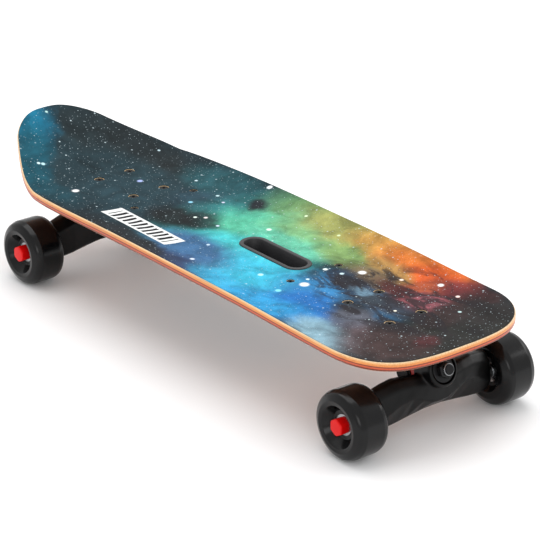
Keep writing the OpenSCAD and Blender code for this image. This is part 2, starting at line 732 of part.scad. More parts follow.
deck();
grip_sheet();
handle_insert();
at_front() riser();  // front_riser
at_rear() riser();  // rear_riser
at_front() baseplate(front_axle_out);  // front_baseplate
at_rear() baseplate(rear_axle_out);  // rear_baseplate
truck_bolts();
truck_nuts();
kingpins();
kingpin_nuts();
cup_washers();
at_front() red_bushing(front_axle_out);  // front_red_bushing
at_front() road_bushing(front_axle_out);  // front_road_bushing
at_rear() red_bushing(rear_axle_out);  // rear_red_bushing
at_rear() road_bushing(rear_axle_out);  // rear_road_bushing
front_hanger();
at_front() hanger_sleeve(front_axle_out);  // front_hanger_sleeve
axle_rod(front_axle_x);  // front_axle
speed_washers(front_axle_x, [-1, 1]);  // front_speed_washers
axle_nuts(front_axle_x);  // front_axle_nuts
axle_caps(front_axle_x);  // front_axle_caps
rear_hanger();
at_rear() hanger_sleeve(rear_axle_out);  // rear_hanger_sleeve
axle_rod(rear_axle_x);  // rear_axle
speed_washers(rear_axle_x, [-1]);  // rear_speed_washers
axle_nuts(rear_axle_x);  // rear_axle_nuts
axle_caps(rear_axle_x);  // rear_axle_caps
wheel(front_axle_x, -1);  // front_right_wheel
bearings(front_axle_x, -1);  // front_right_bearings
spacer(front_axle_x, -1);  // front_right_spacer
wheel(front_axle_x, 1);  // front_left_wheel
bearings(front_axle_x, 1);  // front_left_bearings
spacer(front_axle_x, 1);  // front_left_spacer
wheel(rear_axle_x, -1);  // rear_right_wheel
bearings(rear_axle_x, -1);  // rear_right_bearings
spacer(rear_axle_x, -1);  // rear_right_spacer
motor_tyre();
motor_can();
motor_magnets();
motor_cover();
motor_bearings();
motor_shaft();
motor_stator();
motor_windings();
tray();
tray_gasket();
tray_screws();
battery_cells();
cell_holders();
bms_board();
esc_board();
esc_heatsink();
battery_leads();
power_button();
power_switch();
button_bezel();
charge_socket();
charge_cap();
motor_gland();
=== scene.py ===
import json
import math
import bmesh
import bpy
from mathutils import Matrix, Vector


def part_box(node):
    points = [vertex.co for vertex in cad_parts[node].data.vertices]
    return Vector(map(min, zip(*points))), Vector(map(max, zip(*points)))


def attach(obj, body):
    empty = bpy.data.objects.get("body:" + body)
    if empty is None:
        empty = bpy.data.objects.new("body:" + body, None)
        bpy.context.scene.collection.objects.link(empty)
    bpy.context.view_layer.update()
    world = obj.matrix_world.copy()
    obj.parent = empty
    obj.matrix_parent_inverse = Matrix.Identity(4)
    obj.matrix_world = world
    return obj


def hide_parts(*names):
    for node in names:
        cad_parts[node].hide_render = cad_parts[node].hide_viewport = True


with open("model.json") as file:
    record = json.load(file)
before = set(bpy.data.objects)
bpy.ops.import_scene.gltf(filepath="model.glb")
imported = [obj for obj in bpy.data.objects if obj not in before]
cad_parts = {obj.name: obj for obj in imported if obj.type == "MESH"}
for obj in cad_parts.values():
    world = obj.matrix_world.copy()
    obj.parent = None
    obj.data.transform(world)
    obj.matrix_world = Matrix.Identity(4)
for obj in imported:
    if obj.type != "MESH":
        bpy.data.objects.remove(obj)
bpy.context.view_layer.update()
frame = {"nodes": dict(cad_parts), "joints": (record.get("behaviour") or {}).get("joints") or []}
nodes = frame["nodes"]
print("frame loaded")

# places that everything hangs on, in metres, read from the frame
joints = {j["name"]: j for j in frame["joints"]}
axleZ = joints["front_right_spin"]["pos_m"][2]
frontAxleX = joints["front_right_spin"]["pos_m"][0]
rearAxleX = joints["rear_right_spin"]["pos_m"][0]
deckLow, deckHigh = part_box("deck")
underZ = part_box("front_riser")[1].z          # flat underside of the deck
frontBoltX = (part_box("front_riser")[0].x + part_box("front_riser")[1].x) / 2
rearBoltX = (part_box("rear_riser")[0].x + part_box("rear_riser")[1].x) / 2


def toLinear(hexColour):
    parts = []
    for i in (1, 3, 5):
        c = int(hexColour[i:i + 2], 16) / 255
        parts.append(c / 12.92 if c <= 0.04045 else ((c + 0.055) / 1.055) ** 2.4)
    return (*parts, 1.0)


def addNode(tree, kind, settings=None, links=None):
    made = tree.nodes.new(kind)
    for key, value in (settings or {}).items():
        if isinstance(key, str) and hasattr(made, key):
            setattr(made, key, value)
        else:
            made.inputs[key].default_value = value
    for key, source in (links or {}).items():
        if isinstance(source, bpy.types.NodeSocket):
            tree.links.new(source, made.inputs[key])
        else:
            made.inputs[key].default_value = source    # a plain colour, where no pattern feeds it yet
    return made


def startMaterial(name):
    mat = bpy.data.materials.new(name)
    mat.use_nodes = True
    tree = mat.node_tree
    coords = addNode(tree, "ShaderNodeTexCoord").outputs["Object"]
    return mat, tree, tree.nodes["Principled BSDF"], coords


def meshFrom(bm, name):
    mesh = bpy.data.meshes.new(name)
    bm.to_mesh(mesh)
    bm.free()
    return mesh


def link(name, mesh):
    obj = bpy.data.objects.new(name, mesh)
    bpy.context.scene.collection.objects.link(obj)
    return obj


# turns the modifiers into a plain mesh
def bake(obj):
    graph = bpy.context.evaluated_depsgraph_get()
    made = bpy.data.meshes.new_from_object(obj.evaluated_get(graph))
    obj.modifiers.clear()
    old = obj.data
    obj.data = made
    bpy.data.meshes.remove(old)
    return obj


def shade(mesh, degrees):
    bm = bmesh.new()
    bm.from_mesh(mesh)
    limit = math.radians(degrees)
    for face in bm.faces:
        face.smooth = True
    for edge in bm.edges:
        edge.smooth = len(edge.link_faces) == 2 and edge.calc_face_angle(0) < limit
    bm.to_mesh(mesh)
    bm.free()


def tidyNormals(mesh, merge=1e-6):
    bm = bmesh.new()
    bm.from_mesh(mesh)
    bmesh.ops.remove_doubles(bm, verts=bm.verts, dist=merge)
    bmesh.ops.recalc_face_normals(bm, faces=bm.faces)
    bm.to_mesh(mesh)
    bm.free()


def keep(obj, body, replaced, materials, degrees=35):
    shade(obj.data, degrees)
    obj.data.materials.clear()
    for m in materials:
        obj.data.materials.append(m)
    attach(obj, body)
    if replaced:
        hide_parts(*replaced)
    return obj


# closed outline of (a, b, radius) with its corners rounded
def filleted(points, steps=6):
    out = []
    n = len(points)
    for i in range(n):
        p = Vector(points[i][:2])
        radius = points[i][2]
        before = Vector(points[i - 1][:2]) - p
        after = Vector(points[(i + 1) % n][:2]) - p
        if radius <= 0 or before.length < 1e-9 or after.length < 1e-9:
            out.append(p)
            continue
        half = before.angle(after) / 2
        if half > 1.55 or half < 0.02:
            out.append(p)
            continue
        reach = min(radius / math.tan(half), before.length * 0.48, after.length * 0.48)
        radius = reach * math.tan(half)
        centre = p + (before.normalized() + after.normalized()).normalized() * (radius / math.sin(half))
        start = p + before.normalized() * reach - centre
        end = p + after.normalized() * reach - centre
        turn = start.angle_signed(end)
        for k in range(steps + 1):
            spot = start.copy()
            spot.rotate(Matrix.Rotation(-turn * k / steps, 2))
            out.append(centre + spot)
    return out


# turns a closed outline of (radius, height) in metres round +Z
def latheMesh(name, profile, segments=96, place=Matrix.Identity(4)):
    bm = bmesh.new()
    rings = []
    for k in range(segments):
        a = 2 * math.pi * k / segments
        rings.append([bm.verts.new((r * math.cos(a), r * math.sin(a), h)) for r, h in profile])
    count = len(profile)
    for k in range(segments):
        one, two = rings[k], rings[(k + 1) % segments]
        for i in range(count):
            j = (i + 1) % count
            if profile[i][0] < 1e-9 and profile[j][0] < 1e-9:
                continue
            bm.faces.new((one[i], one[j], two[j], two[i]))
    bmesh.ops.remove_doubles(bm, verts=bm.verts, dist=1e-7)
    bmesh.ops.dissolve_degenerate(bm, edges=bm.edges, dist=1e-8)
    bmesh.ops.recalc_face_normals(bm, faces=bm.faces)
    bmesh.ops.transform(bm, matrix=place, verts=bm.verts)
    return meshFrom(bm, name)


# outline in millimetres as (radius, height, corner radius)
def lathe(name, outline, segments=96, place=Matrix.Identity(4), steps=6):
    profile = [(p.x / 1000, p.y / 1000) for p in filleted(outline, steps)]
    return link(name, latheMesh(name, profile, segments, place))


def joinInto(target, others):
    bm = bmesh.new()
    bm.from_mesh(target.data)
    for other in others:
        bm.from_mesh(other.data)
        bpy.data.objects.remove(other)
    bm.to_mesh(target.data)
    bm.free()
    return target


def cut(obj, tool, selfToo=False):
    tidyNormals(tool.data)
    mod = obj.modifiers.new("cut", "BOOLEAN")
    mod.operation = "DIFFERENCE"
    mod.solver = "EXACT"
    mod.use_self = selfToo
    mod.object = tool
    bake(obj)
    bpy.data.objects.remove(tool)
    return obj


# a plain cylinder to cut with, in millimetres
def drill(radius, low, high, x=0.0, y=0.0, segments=40):
    return lathe("drill", [(0, low, 0), (radius, low, 0), (radius, high, 0), (0, high, 0)], segments,
                 Matrix.Translation((x / 1000, y / 1000, 0)))


# +Z outwards along an axle; side is 1 on the left and -1 on the right
def axleMatrix(x, side, y):
    return Matrix.Translation((x, side * y, axleZ)) @ Matrix.Rotation(-side * math.pi / 2, 4, "X")


# millimetres with +X outboard and the axle at the origin; end is 1 at the nose and -1 at the tail
def truckMatrix(end):
    x = frontAxleX if end > 0 else rearAxleX
    turned = Matrix.Identity(4) if end > 0 else Matrix.Rotation(math.pi, 4, "Z")
    return Matrix.Translation((x, 0, axleZ)) @ turned @ Matrix.Scale(0.001, 4)


# kingpin, from the seat on the baseplate, in a truck's own millimetres
truck = {"seatBack": 14, "seatUp": 22, "angle": 20, "bushing": 12, "cup": 1.5, "ringRadius": 18}
ringFrom = truck["cup"] + truck["bushing"]
ringFloor = ringFrom + 15.5
ringTo = ringFloor + 11


def kingpinMatrix(end, along=0.0):
    seat = Matrix.Translation((-truck["seatBack"], 0, truck["seatUp"]))
    tilt = Matrix.Rotation(math.radians(90 - truck["angle"]), 4, "Y")
    # the scale in truckMatrix is undone, because lathe works in metres
    return truckMatrix(end) @ seat @ tilt @ Matrix.Translation((0, 0, along)) @ Matrix.Scale(1000, 4)


# a surface with a slow change of tone, fine grain in its bump and roughness, and rubbed edges
def finish(name, colour, second, metallic, roughness, grainMm, bumpMm, coat=0.0, stretch=(1, 1, 1),
           shine=0.5):
    mat, tree, bsdf, coords = startMaterial(name)
    placed = addNode(tree, "ShaderNodeMapping", {"Scale": stretch}, {"Vector": coords}).outputs["Vector"]
    slow = addNode(tree, "ShaderNodeTexNoise", {"Scale": 1000 / 22, "Detail": 4.0}, {"Vector": placed})
    fine = addNode(tree, "ShaderNodeTexNoise", {"Scale": 1000 / grainMm, "Detail": 3.0, "Roughness": 0.6},
                   {"Vector": placed})
    edge = addNode(tree, "ShaderNodeNewGeometry").outputs["Pointiness"]
    patches = addNode(tree, "ShaderNodeMapRange", {"From Min": 0.35, "From Max": 0.65, "To Max": 0.8},
                      {"Value": slow.outputs["Fac"]}).outputs[0]
    tone = addNode(tree, "ShaderNodeMix", {"data_type": "RGBA"},
                   {0: patches, 6: toLinear(colour), 7: toLinear(second)}).outputs[2]
    lit = tuple(min(1.0, c * 1.8 + 0.004) for c in toLinear(second)[:3]) + (1.0,)
    rubbed = addNode(tree, "ShaderNodeMapRange", {"From Min": 0.52, "From Max": 0.6, "To Max": 0.45},
                     {"Value": edge}).outputs[0]
    worn = addNode(tree, "ShaderNodeMix", {"data_type": "RGBA"}, {0: rubbed, 6: tone, 7: lit}).outputs[2]
    tree.links.new(worn, bsdf.inputs["Base Color"])
    rough = addNode(tree, "ShaderNodeMapRange",
                    {"From Min": 0.3, "From Max": 0.7, "To Min": roughness * 0.85,
                     "To Max": min(1.0, roughness * 1.2)}, {"Value": fine.outputs["Fac"]}).outputs[0]
    tree.links.new(rough, bsdf.inputs["Roughness"])
    bsdf.inputs["Metallic"].default_value = metallic
    bsdf.inputs["Specular IOR Level"].default_value = shine
    bsdf.inputs["Coat Weight"].default_value = coat
    bump = addNode(tree, "ShaderNodeBump", {"Strength": 0.6, "Distance": bumpMm / 1000},
                   {"Height": fine.outputs["Fac"]})
    tree.links.new(bump.outputs["Normal"], bsdf.inputs["Normal"])
    return mat


# black powder coat over cast aluminium: a slight orange peel, greyer where edges rub
castPaint = finish("blackPowderCoat", "#030303", "#080809", 0.0, 0.34, 1.4, 0.05, shine=0.2)
# cast urethane, poured and trimmed: smooth, wet-looking, with faint hand smudges
wheelUrethane = finish("blackCastUrethane", "#060607", "#0c0c0d", 0.0, 0.2, 3.0, 0.02, shine=0.26)
# glossy injection-moulded nylon cap
capPlastic = finish("redMouldedNylon", "#dc0505", "#cf0303", 0.0, 0.34, 1.2, 0.012, shine=0.22)
# zinc-plated turned steel: bright, with fine turning marks
zincSteel = finish("zincPlatedSteel", "#a2a4a6", "#8b8d8f", 1.0, 0.26, 0.5, 0.01)
# chemically blacked steel screws
blackSteel = finish("blackOxideSteel", "#17181a", "#0d0d0e", 0.6, 0.42, 0.8, 0.02)
# spark-eroded ABS: a fine even stipple that kills the gloss
greyAbs = finish("greyTexturedAbs", "#28282a", "#303032", 0.0, 0.46, 1.0, 0.06)
blackAbs = finish("blackTexturedAbs", "#101113", "#17181a", 0.0, 0.5, 1.1, 0.07)
# soft moulded parts
redUrethane = finish("redBushingUrethane", "#c01c10", "#a81408", 0.0, 0.35, 2.0, 0.02)
blackRubber = finish("blackRubber", "#0c0c0c", "#151515", 0.0, 0.62, 1.0, 0.05)
whiteNylon = finish("whiteNylon", "#d9d5c8", "#cbc6b8", 0.0, 0.45, 1.5, 0.02)
# machined, plated and wound parts of the bearings and the motor
bearingSteel = finish("groundBearingSteel", "#c9cacc", "#b2b4b6", 1.0, 0.2, 0.4, 0.006)
spacerAlu = finish("turnedAluminium", "#cfd1d3", "#bcbec0", 1.0, 0.32, 0.5, 0.01)
anodised = finish("blackAnodisedAluminium", "#1d1e21", "#27282b", 0.75, 0.36, 0.9, 0.015)
magnetNickel = finish("nickelPlatedMagnet", "#b7bbc0", "#a5a9ae", 1.0, 0.22, 0.8, 0.006)
statorSteel = finish("laminatedStatorSteel", "#6d7072", "#585b5d", 0.9, 0.45, 0.5, 0.03, stretch=(1, 9, 1))
copperWire = finish("enamelledCopperWire", "#a8521c", "#8c3f12", 0.7, 0.3, 0.8, 0.08, stretch=(1, 4, 4))
# electronics and battery
cellWrap = finish("shrinkWrappedCells", "#2b8a4e", "#237541", 0.0, 0.38, 3.0, 0.02)
greenBoard = finish("greenSolderMask", "#12592e", "#0d4723", 0.0, 0.35, 1.2, 0.04, coat=0.4)
blueBoard = finish("blueSolderMask", "#143f7c", "#0f3365", 0.0, 0.35, 1.2, 0.04, coat=0.4)
leadPvc = finish("pvcLeadInsulation", "#b81818", "#9c1212", 0.0, 0.4, 1.0, 0.02)


# seven-ply maple: the edge shows the glued veneers, the faces show straight grain under clear lacquer
def plyMaterial():
    mat, tree, bsdf, coords = startMaterial("lacqueredMapleLaminate")
    height = addNode(tree, "ShaderNodeAttribute", {"attribute_name": "plyHeight"}).outputs["Fac"]
    wobble = addNode(tree, "ShaderNodeTexNoise", {"Scale": 1000 / 30, "Detail": 3.0}, {"Vector": coords})
    shifted = addNode(tree, "ShaderNodeMath", {"operation": "MULTIPLY_ADD", 1: 0.05},
                      {0: wobble.outputs["Fac"], 2: height}).outputs[0]
    ramp = addNode(tree, "ShaderNodeValToRGB", {}, {"Fac": shifted})
    plies = [(0.0, "#c88a66"), (0.13, "#b87450"), (0.16, "#5e1c08"), (0.27, "#7c2a0e"), (0.3, "#c64c20"),
             (0.44, "#cf5a28"), (0.47, "#6e220a"), (0.54, "#7c2c0e"), (0.58, "#e08038"), (0.74, "#eb9a50"),
             (0.77, "#c87a38"), (0.8, "#f0aa64"), (0.9, "#efb87c"), (1.0, "#e8cda4")]
    ramp.color_ramp.elements[0].position = plies[0][0]
    ramp.color_ramp.elements[0].color = toLinear(plies[0][1])
    ramp.color_ramp.elements[1].position = plies[-1][0]
    ramp.color_ramp.elements[1].color = toLinear(plies[-1][1])
    for at, colour in plies[1:-1]:
        ramp.color_ramp.elements.new(at).color = toLinear(colour)
    # grain runs along the deck: 1.5 mm lines, 70 mm long
    along = addNode(tree, "ShaderNodeMapping", {"Scale": (1000 / 70, 1000 / 1.5, 1000 / 1.5)},
                    {"Vector": coords})
    grain = addNode(tree, "ShaderNodeTexNoise",
                    {"Scale": 1.0, "Detail": 5.0, "Roughness": 0.55, "Distortion": 0.4},
                    {"Vector": along.outputs["Vector"]})
    lines = addNode(tree, "ShaderNodeMapRange", {"From Min": 0.42, "From Max": 0.75, "To Max": 0.55},
                    {"Value": grain.outputs["Fac"]}).outputs[0]
    dark = addNode(tree, "ShaderNodeMix", {"data_type": "RGBA", "blend_type": "MULTIPLY"},
                   {0: lines, 6: ramp.outputs["Color"], 7: toLinear("#b98a6a")})
    tree.links.new(dark.outputs[2], bsdf.inputs["Base Color"])
    bsdf.inputs["Roughness"].default_value = 0.38
    bsdf.inputs["Coat Weight"].default_value = 0.2
    bump = addNode(tree, "ShaderNodeBump", {"Strength": 0.35, "Distance": 0.0002},
                   {"Height": grain.outputs["Fac"]})
    tree.links.new(bump.outputs["Normal"], bsdf.inputs["Normal"])
    return mat


# clouds of the print as (x, y, reach along, reach across, turn, colour, strength), in mm and degrees
clouds = [
    (-240, 0, 190, 130, 0, "#263a41", 0.9), (-235, 62, 130, 42, 0, "#242a2c", 0.8),
    (-150, -30, 90, 60, 0, "#2a4650", 0.6), (-185, 30, 90, 30, -10, "#27434c", 0.5),
    (-300, 20, 55, 40, 0, "#222a2c", 0.7), (-335, -30, 62, 42, -30, "#14708f", 0.9),
    (-275, -62, 85, 30, -30, "#17596b", 0.8), (-215, -82, 75, 30, -12, "#1d4f5c", 0.6),
    (-105, 75, 90, 42, 0, "#2c6068", 0.75), (-70, 30, 70, 40, 0, "#31505f", 0.7),
    (30, 0, 130, 150, 0, "#3fa39f", 1.0), (25, 85, 90, 60, 0, "#6f9a62", 0.9),
    (12, 32, 75, 62, 20, "#5fc7a4", 1.0), (70, 60, 95, 60, 0, "#84bf86", 1.0),
    (90, 92, 110, 40, 0, "#a5a35c", 0.9), (60, 25, 80, 34, 0, "#6ccfb0", 0.85),
    (60, -25, 110, 50, 0, "#4ac8cc", 1.0), (110, -50, 95, 55, 0, "#42c0de", 1.0),
    (10, -62, 90, 50, 0, "#45719c", 1.0), (35, -100, 110, 30, 0, "#3b4a70", 0.95),
    (-15, -100, 60, 24, 0, "#26282e", 0.9), (110, -90, 75, 30, 0, "#3fb2dc", 0.9),
    (205, -30, 95, 80, 0, "#3a86bd", 0.95), (195, -62, 70, 45, 10, "#2a74bd", 1.0),
    (200, -88, 60, 30, 0, "#2f8ccb", 0.8), (165, -95, 60, 26, 0, "#36a4dc", 0.9),
    (135, 60, 60, 40, 0, "#8aa862", 0.8), (150, 92, 80, 34, 0, "#cf9c50", 1.0),
    (205, 88, 90, 42, 0, "#dd7b36", 1.0), (235, 80, 60, 34, 0, "#dc5f28", 0.95),
    (185, 62, 60, 26, -12, "#b08a50", 0.9), (190, 40, 60, 24, 0, "#7d6a52", 0.95),
    (262, 52, 60, 52, 0, "#7c3c3e", 1.0), (240, 66, 34, 18, 20, "#c0603a", 0.7),
    (275, 82, 40, 30, 0, "#703034", 0.85), (266, 44, 34, 26, 0, "#a05c66", 0.9),
    (222, 42, 42, 18, 0, "#54282a", 0.9), (182, 10, 42, 26, 0, "#2a2c34", 1.0),
    (235, 5, 62, 30, 0, "#46505e", 0.9), (215, 6, 34, 13, 0, "#7ba0b8", 0.8),
    (240, -28, 62, 26, -20, "#2c3640", 1.0), (262, -50, 60, 36, -30, "#6a6c78", 0.8),
    (262, -88, 62, 32, 0, "#8fb4c4", 0.95), (300, -62, 50, 50, -40, "#5a4a4c", 0.9),
    (345, 10, 78, 130, 0, "#2f2f2d", 1.0), (310, 70, 50, 60, 0, "#302c2c", 0.8),
    (322, -45, 55, 50, -50, "#443433", 0.9), (306, 30, 26, 40, 0, "#3b2c2c", 0.7),
    (337, -20, 13, 24, 0, "#6a2c32", 0.45), (300, 92, 26, 14, 0, "#4c2a2a", 0.4),
    (-45, -5, 45, 36, 0, "#222427", 0.85), (-70, -22, 50, 30, 0, "#1f2123", 0.9),
    (-40, 66, 20, 16, -30, "#231f2a", 0.95), (-60, -92, 90, 22, 0, "#23272b", 0.9),
]
# bright stars as (x, y, radius, colour), in mm
brightStars = [
    (-60, 102, 5, "#f4fbff"), (-196, -61, 6, "#ffffff"), (-175, 11, 5, "#a9b8ea"), (-91, 17, 4, "#8fd0ea"),
    (-46, 3, 3.4, "#f2e6e6"), (-54, -5, 3.2, "#e8f6ee"), (156, -27, 7.5, "#ffffff"),
    (170, 38, 6.5, "#ffffff"), (140, 14, 4, "#f0ffff"), (159, 20, 3.6, "#d0ecf4"), (245, 78, 5, "#ffffff"),
    (276, 73, 3.6, "#ffe4dc"), (22, 35, 4.4, "#ecfff6"), (22, 86, 3, "#dcf0c8"), (109, -46, 4.6, "#baf0ff"),
    (151, -57, 5, "#86e2f6"), (35, -77, 4, "#dce8fa"), (14, -40, 3, "#c8e0f4"), (282, 23, 4, "#dfe8ea"),
    (304, 50, 3, "#c4e0e0"), (-87, 51, 3.2, "#c4e4ea"), (-68, 44, 2.8, "#d4d4ec"),
    (-262, -58, 3.6, "#bfe6ee"), (-265, -62, 3, "#d8f0f4"), (-137, 60, 2.8, "#c8e0e8"),
    (-231, 79, 2.6, "#b8d0d8"), (-335, -2, 2.6, "#b8e0dc"), (83, 80, 3, "#d8f0b8"),
    (209, 57, 3.6, "#ffe8d8"), (-20, -1, 3, "#d4e8f8"), (262, 2, 2.6, "#f4f0e0"), (148, -16, 3, "#d8f0ff"),
]
printShift = 10          # the print's own zero lies 10 mm behind the deck's middle
# plain pale panel with slanted strokes, in mm, its turn in degrees
panel = {"x": -69, "y": -63.8, "halfLength": 58, "halfWidth": 12.2, "slant": 0.19, "turn": -1.0}


# grit-coated sheet, screen printed: matt, with a sparkle-free grain that breaks up the ink
def gripMaterial():
    mat, tree, bsdf, coords = startMaterial("printedGritSheet")
    flat = addNode(tree, "ShaderNodeMapping", {"Location": (printShift, 0, 0), "Scale": (1000, 1000, 0)},
                   {"Vector": coords}).outputs["Vector"]

    # the clouds' edges are torn at two sizes, 90 mm and 24 mm
    torn = flat
    for size, reach in ((90, 46), (24, 17)):
        noise = addNode(tree, "ShaderNodeTexNoise", {"Scale": 1 / size, "Detail": 5.0, "Roughness": 0.6},
                        {"Vector": flat})
        centred = addNode(tree, "ShaderNodeVectorMath", {"operation": "SUBTRACT", 1: (0.5, 0.5, 0.5)},
                          {0: noise.outputs["Color"]})
        grown = addNode(tree, "ShaderNodeVectorMath", {"operation": "SCALE", "Scale": float(reach)},
                        {0: centred.outputs[0]})
        torn = addNode(tree, "ShaderNodeVectorMath", {"operation": "ADD"},
                       {0: torn, 1: grown.outputs[0]}).outputs[0]
    torn = addNode(tree, "ShaderNodeVectorMath", {"operation": "MULTIPLY", 1: (1, 1, 0)},
                   {0: torn}).outputs[0]

    colour = toLinear("#1c2c33")
    for x, y, along, across, turn, tint, strength in clouds:
        local = addNode(tree, "ShaderNodeMapping",
                        {"vector_type": "TEXTURE", "Location": (x, y, 0),
                         "Rotation": (0, 0, math.radians(turn)),
                         "Scale": (along, across, 1)}, {"Vector": torn})
        ball = addNode(tree, "ShaderNodeTexGradient", {"gradient_type": "SPHERICAL"},
                       {"Vector": local.outputs["Vector"]})
        amount = addNode(tree, "ShaderNodeMapRange",
                         {"interpolation_type": "SMOOTHSTEP", "From Max": 0.62,
                          "To Max": strength}, {"Value": ball.outputs["Fac"]}).outputs[0]
        colour = addNode(tree, "ShaderNodeMix", {"data_type": "RGBA"},
                         {0: amount, 6: colour, 7: toLinear(tint)}).outputs[2]

    # dust: dark and light mottling, from 30 mm down to under 1 mm
    dust = addNode(tree, "ShaderNodeTexNoise",
                   {"Scale": 1 / 30, "Detail": 9.0, "Roughness": 0.68, "Distortion": 0.5},
                   {"Vector": flat})
    gain = addNode(tree, "ShaderNodeMapRange", {"From Min": 0.33, "From Max": 0.68, "To Min": 0.5,
                                                "To Max": 1.16}, {"Value": dust.outputs["Fac"]}).outputs[0]
    colour = addNode(tree, "ShaderNodeVectorMath", {"operation": "SCALE"},
                     {0: colour, "Scale": gain}).outputs[0]
    # dark lanes drift across the nose half
    drawn = addNode(tree, "ShaderNodeMapping", {"Location": (70, 0, 0), "Scale": (0.75, 1.3, 1)},
                    {"Vector": flat})
    lanes = addNode(tree, "ShaderNodeTexNoise",
                    {"Scale": 1 / 46, "Detail": 7.0, "Roughness": 0.62, "Distortion": 1.4},
                    {"Vector": drawn.outputs["Vector"]})
    noseHalf = addNode(tree, "ShaderNodeMapping",
                       {"vector_type": "TEXTURE", "Location": (240, 20, 0),
                        "Scale": (130, 85, 1)}, {"Vector": torn})
    region = addNode(tree, "ShaderNodeTexGradient", {"gradient_type": "SPHERICAL"},
                     {"Vector": noseHalf.outputs["Vector"]})
    dark = addNode(tree, "ShaderNodeMapRange", {"From Min": 0.48, "From Max": 0.57, "To Max": 0.85},
                   {"Value": lanes.outputs["Fac"]}).outputs[0]
    near = addNode(tree, "ShaderNodeMapRange", {"interpolation_type": "SMOOTHSTEP", "From Max": 0.4},
                   {"Value": region.outputs["Fac"]}).outputs[0]
    laneAmount = addNode(tree, "ShaderNodeMath", {"operation": "MULTIPLY"}, {0: dark, 1: near}).outputs[0]
    colour = addNode(tree, "ShaderNodeMix", {"data_type": "RGBA"},
                     {0: laneAmount, 6: colour, 7: toLinear("#262226")}).outputs[2]

    # loose stars at three spacings in mm: each cell's random value sets whether and how bright
    stars = None
    for spacing, radius, chance in ((4.2, 0.09, 0.6), (9, 0.07, 0.5), (24, 0.05, 0.45)):
        cell = addNode(tree, "ShaderNodeTexVoronoi", {"voronoi_dimensions": "2D", "Scale": 1 / spacing},
                       {"Vector": flat})
        parts = addNode(tree, "ShaderNodeSeparateColor", {}, {"Color": cell.outputs["Color"]})
        away = cell.outputs["Distance"]
        dot = addNode(tree, "ShaderNodeMapRange",
                      {"interpolation_type": "SMOOTHSTEP", "From Min": radius * 0.25,
                       "From Max": radius * 1.25, "To Min": 1.0, "To Max": 0.0}, {"Value": away}).outputs[0]
        shown = addNode(tree, "ShaderNodeMapRange", {"From Min": chance},
                        {"Value": parts.outputs[0]}).outputs[0]
        bright = addNode(tree, "ShaderNodeMath", {"operation": "MULTIPLY"}, {0: dot, 1: shown}).outputs[0]
        stars = bright if stars is None else addNode(tree, "ShaderNodeMath", {"operation": "MAXIMUM"},
                                                     {0: stars, 1: bright}).outputs[0]
    dimmed = addNode(tree, "ShaderNodeMath", {"operation": "MULTIPLY", "use_clamp": True, 1: 0.9}, {0: stars})
    colour = addNode(tree, "ShaderNodeMix", {"data_type": "RGBA"},
                     {0: dimmed.outputs[0], 6: colour, 7: toLinear("#cfe2e8")}).outputs[2]
    for x, y, radius, tint in brightStars:
        local = addNode(tree, "ShaderNodeMapping", {"vector_type": "TEXTURE", "Location": (x, y, 0),
                                                    "Scale": (radius, radius, 1)}, {"Vector": flat})
        ball = addNode(tree, "ShaderNodeTexGradient", {"gradient_type": "SPHERICAL"},
                       {"Vector": local.outputs["Vector"]})
        glow = addNode(tree, "ShaderNodeMapRange",
                       {"interpolation_type": "SMOOTHSTEP", "From Min": 0.12,
                        "From Max": 0.66}, {"Value": ball.outputs["Fac"]}).outputs[0]
        colour = addNode(tree, "ShaderNodeMix", {"data_type": "RGBA"},
                         {0: glow, 6: colour, 7: toLinear(tint)}).outputs[2]

    # the panel and its strokes
    local = addNode(tree, "ShaderNodeMapping",
                    {"vector_type": "TEXTURE", "Location": (panel["x"], panel["y"], 0),
                     "Rotation": (0, 0, math.radians(panel["turn"]))}, {"Vector": flat})
    parts = addNode(tree, "ShaderNodeSeparateXYZ", {}, {"Vector": local.outputs["Vector"]})
    leaned = addNode(tree, "ShaderNodeMath", {"operation": "MULTIPLY_ADD", 1: -panel["slant"]},
                     {0: parts.outputs["Y"], 2: parts.outputs["X"]}).outputs[0]
    inX = addNode(tree, "ShaderNodeMath", {"operation": "ABSOLUTE"}, {0: leaned}).outputs[0]
    inY = addNode(tree, "ShaderNodeMath", {"operation": "ABSOLUTE"}, {0: parts.outputs["Y"]}).outputs[0]
    alongPanel = addNode(tree, "ShaderNodeMapRange",
                         {"From Min": panel["halfLength"] - 0.3, "From Max": panel["halfLength"] + 0.3,
                          "To Min": 1.0, "To Max": 0.0}, {"Value": inX}).outputs[0]
    acrossPanel = addNode(tree, "ShaderNodeMapRange",
                          {"From Min": panel["halfWidth"] - 0.3, "From Max": panel["halfWidth"] + 0.3,
                           "To Min": 1.0, "To Max": 0.0}, {"Value": inY}).outputs[0]
    onPanel = addNode(tree, "ShaderNodeMath", {"operation": "MULTIPLY"},
                      {0: alongPanel, 1: acrossPanel}).outputs[0]
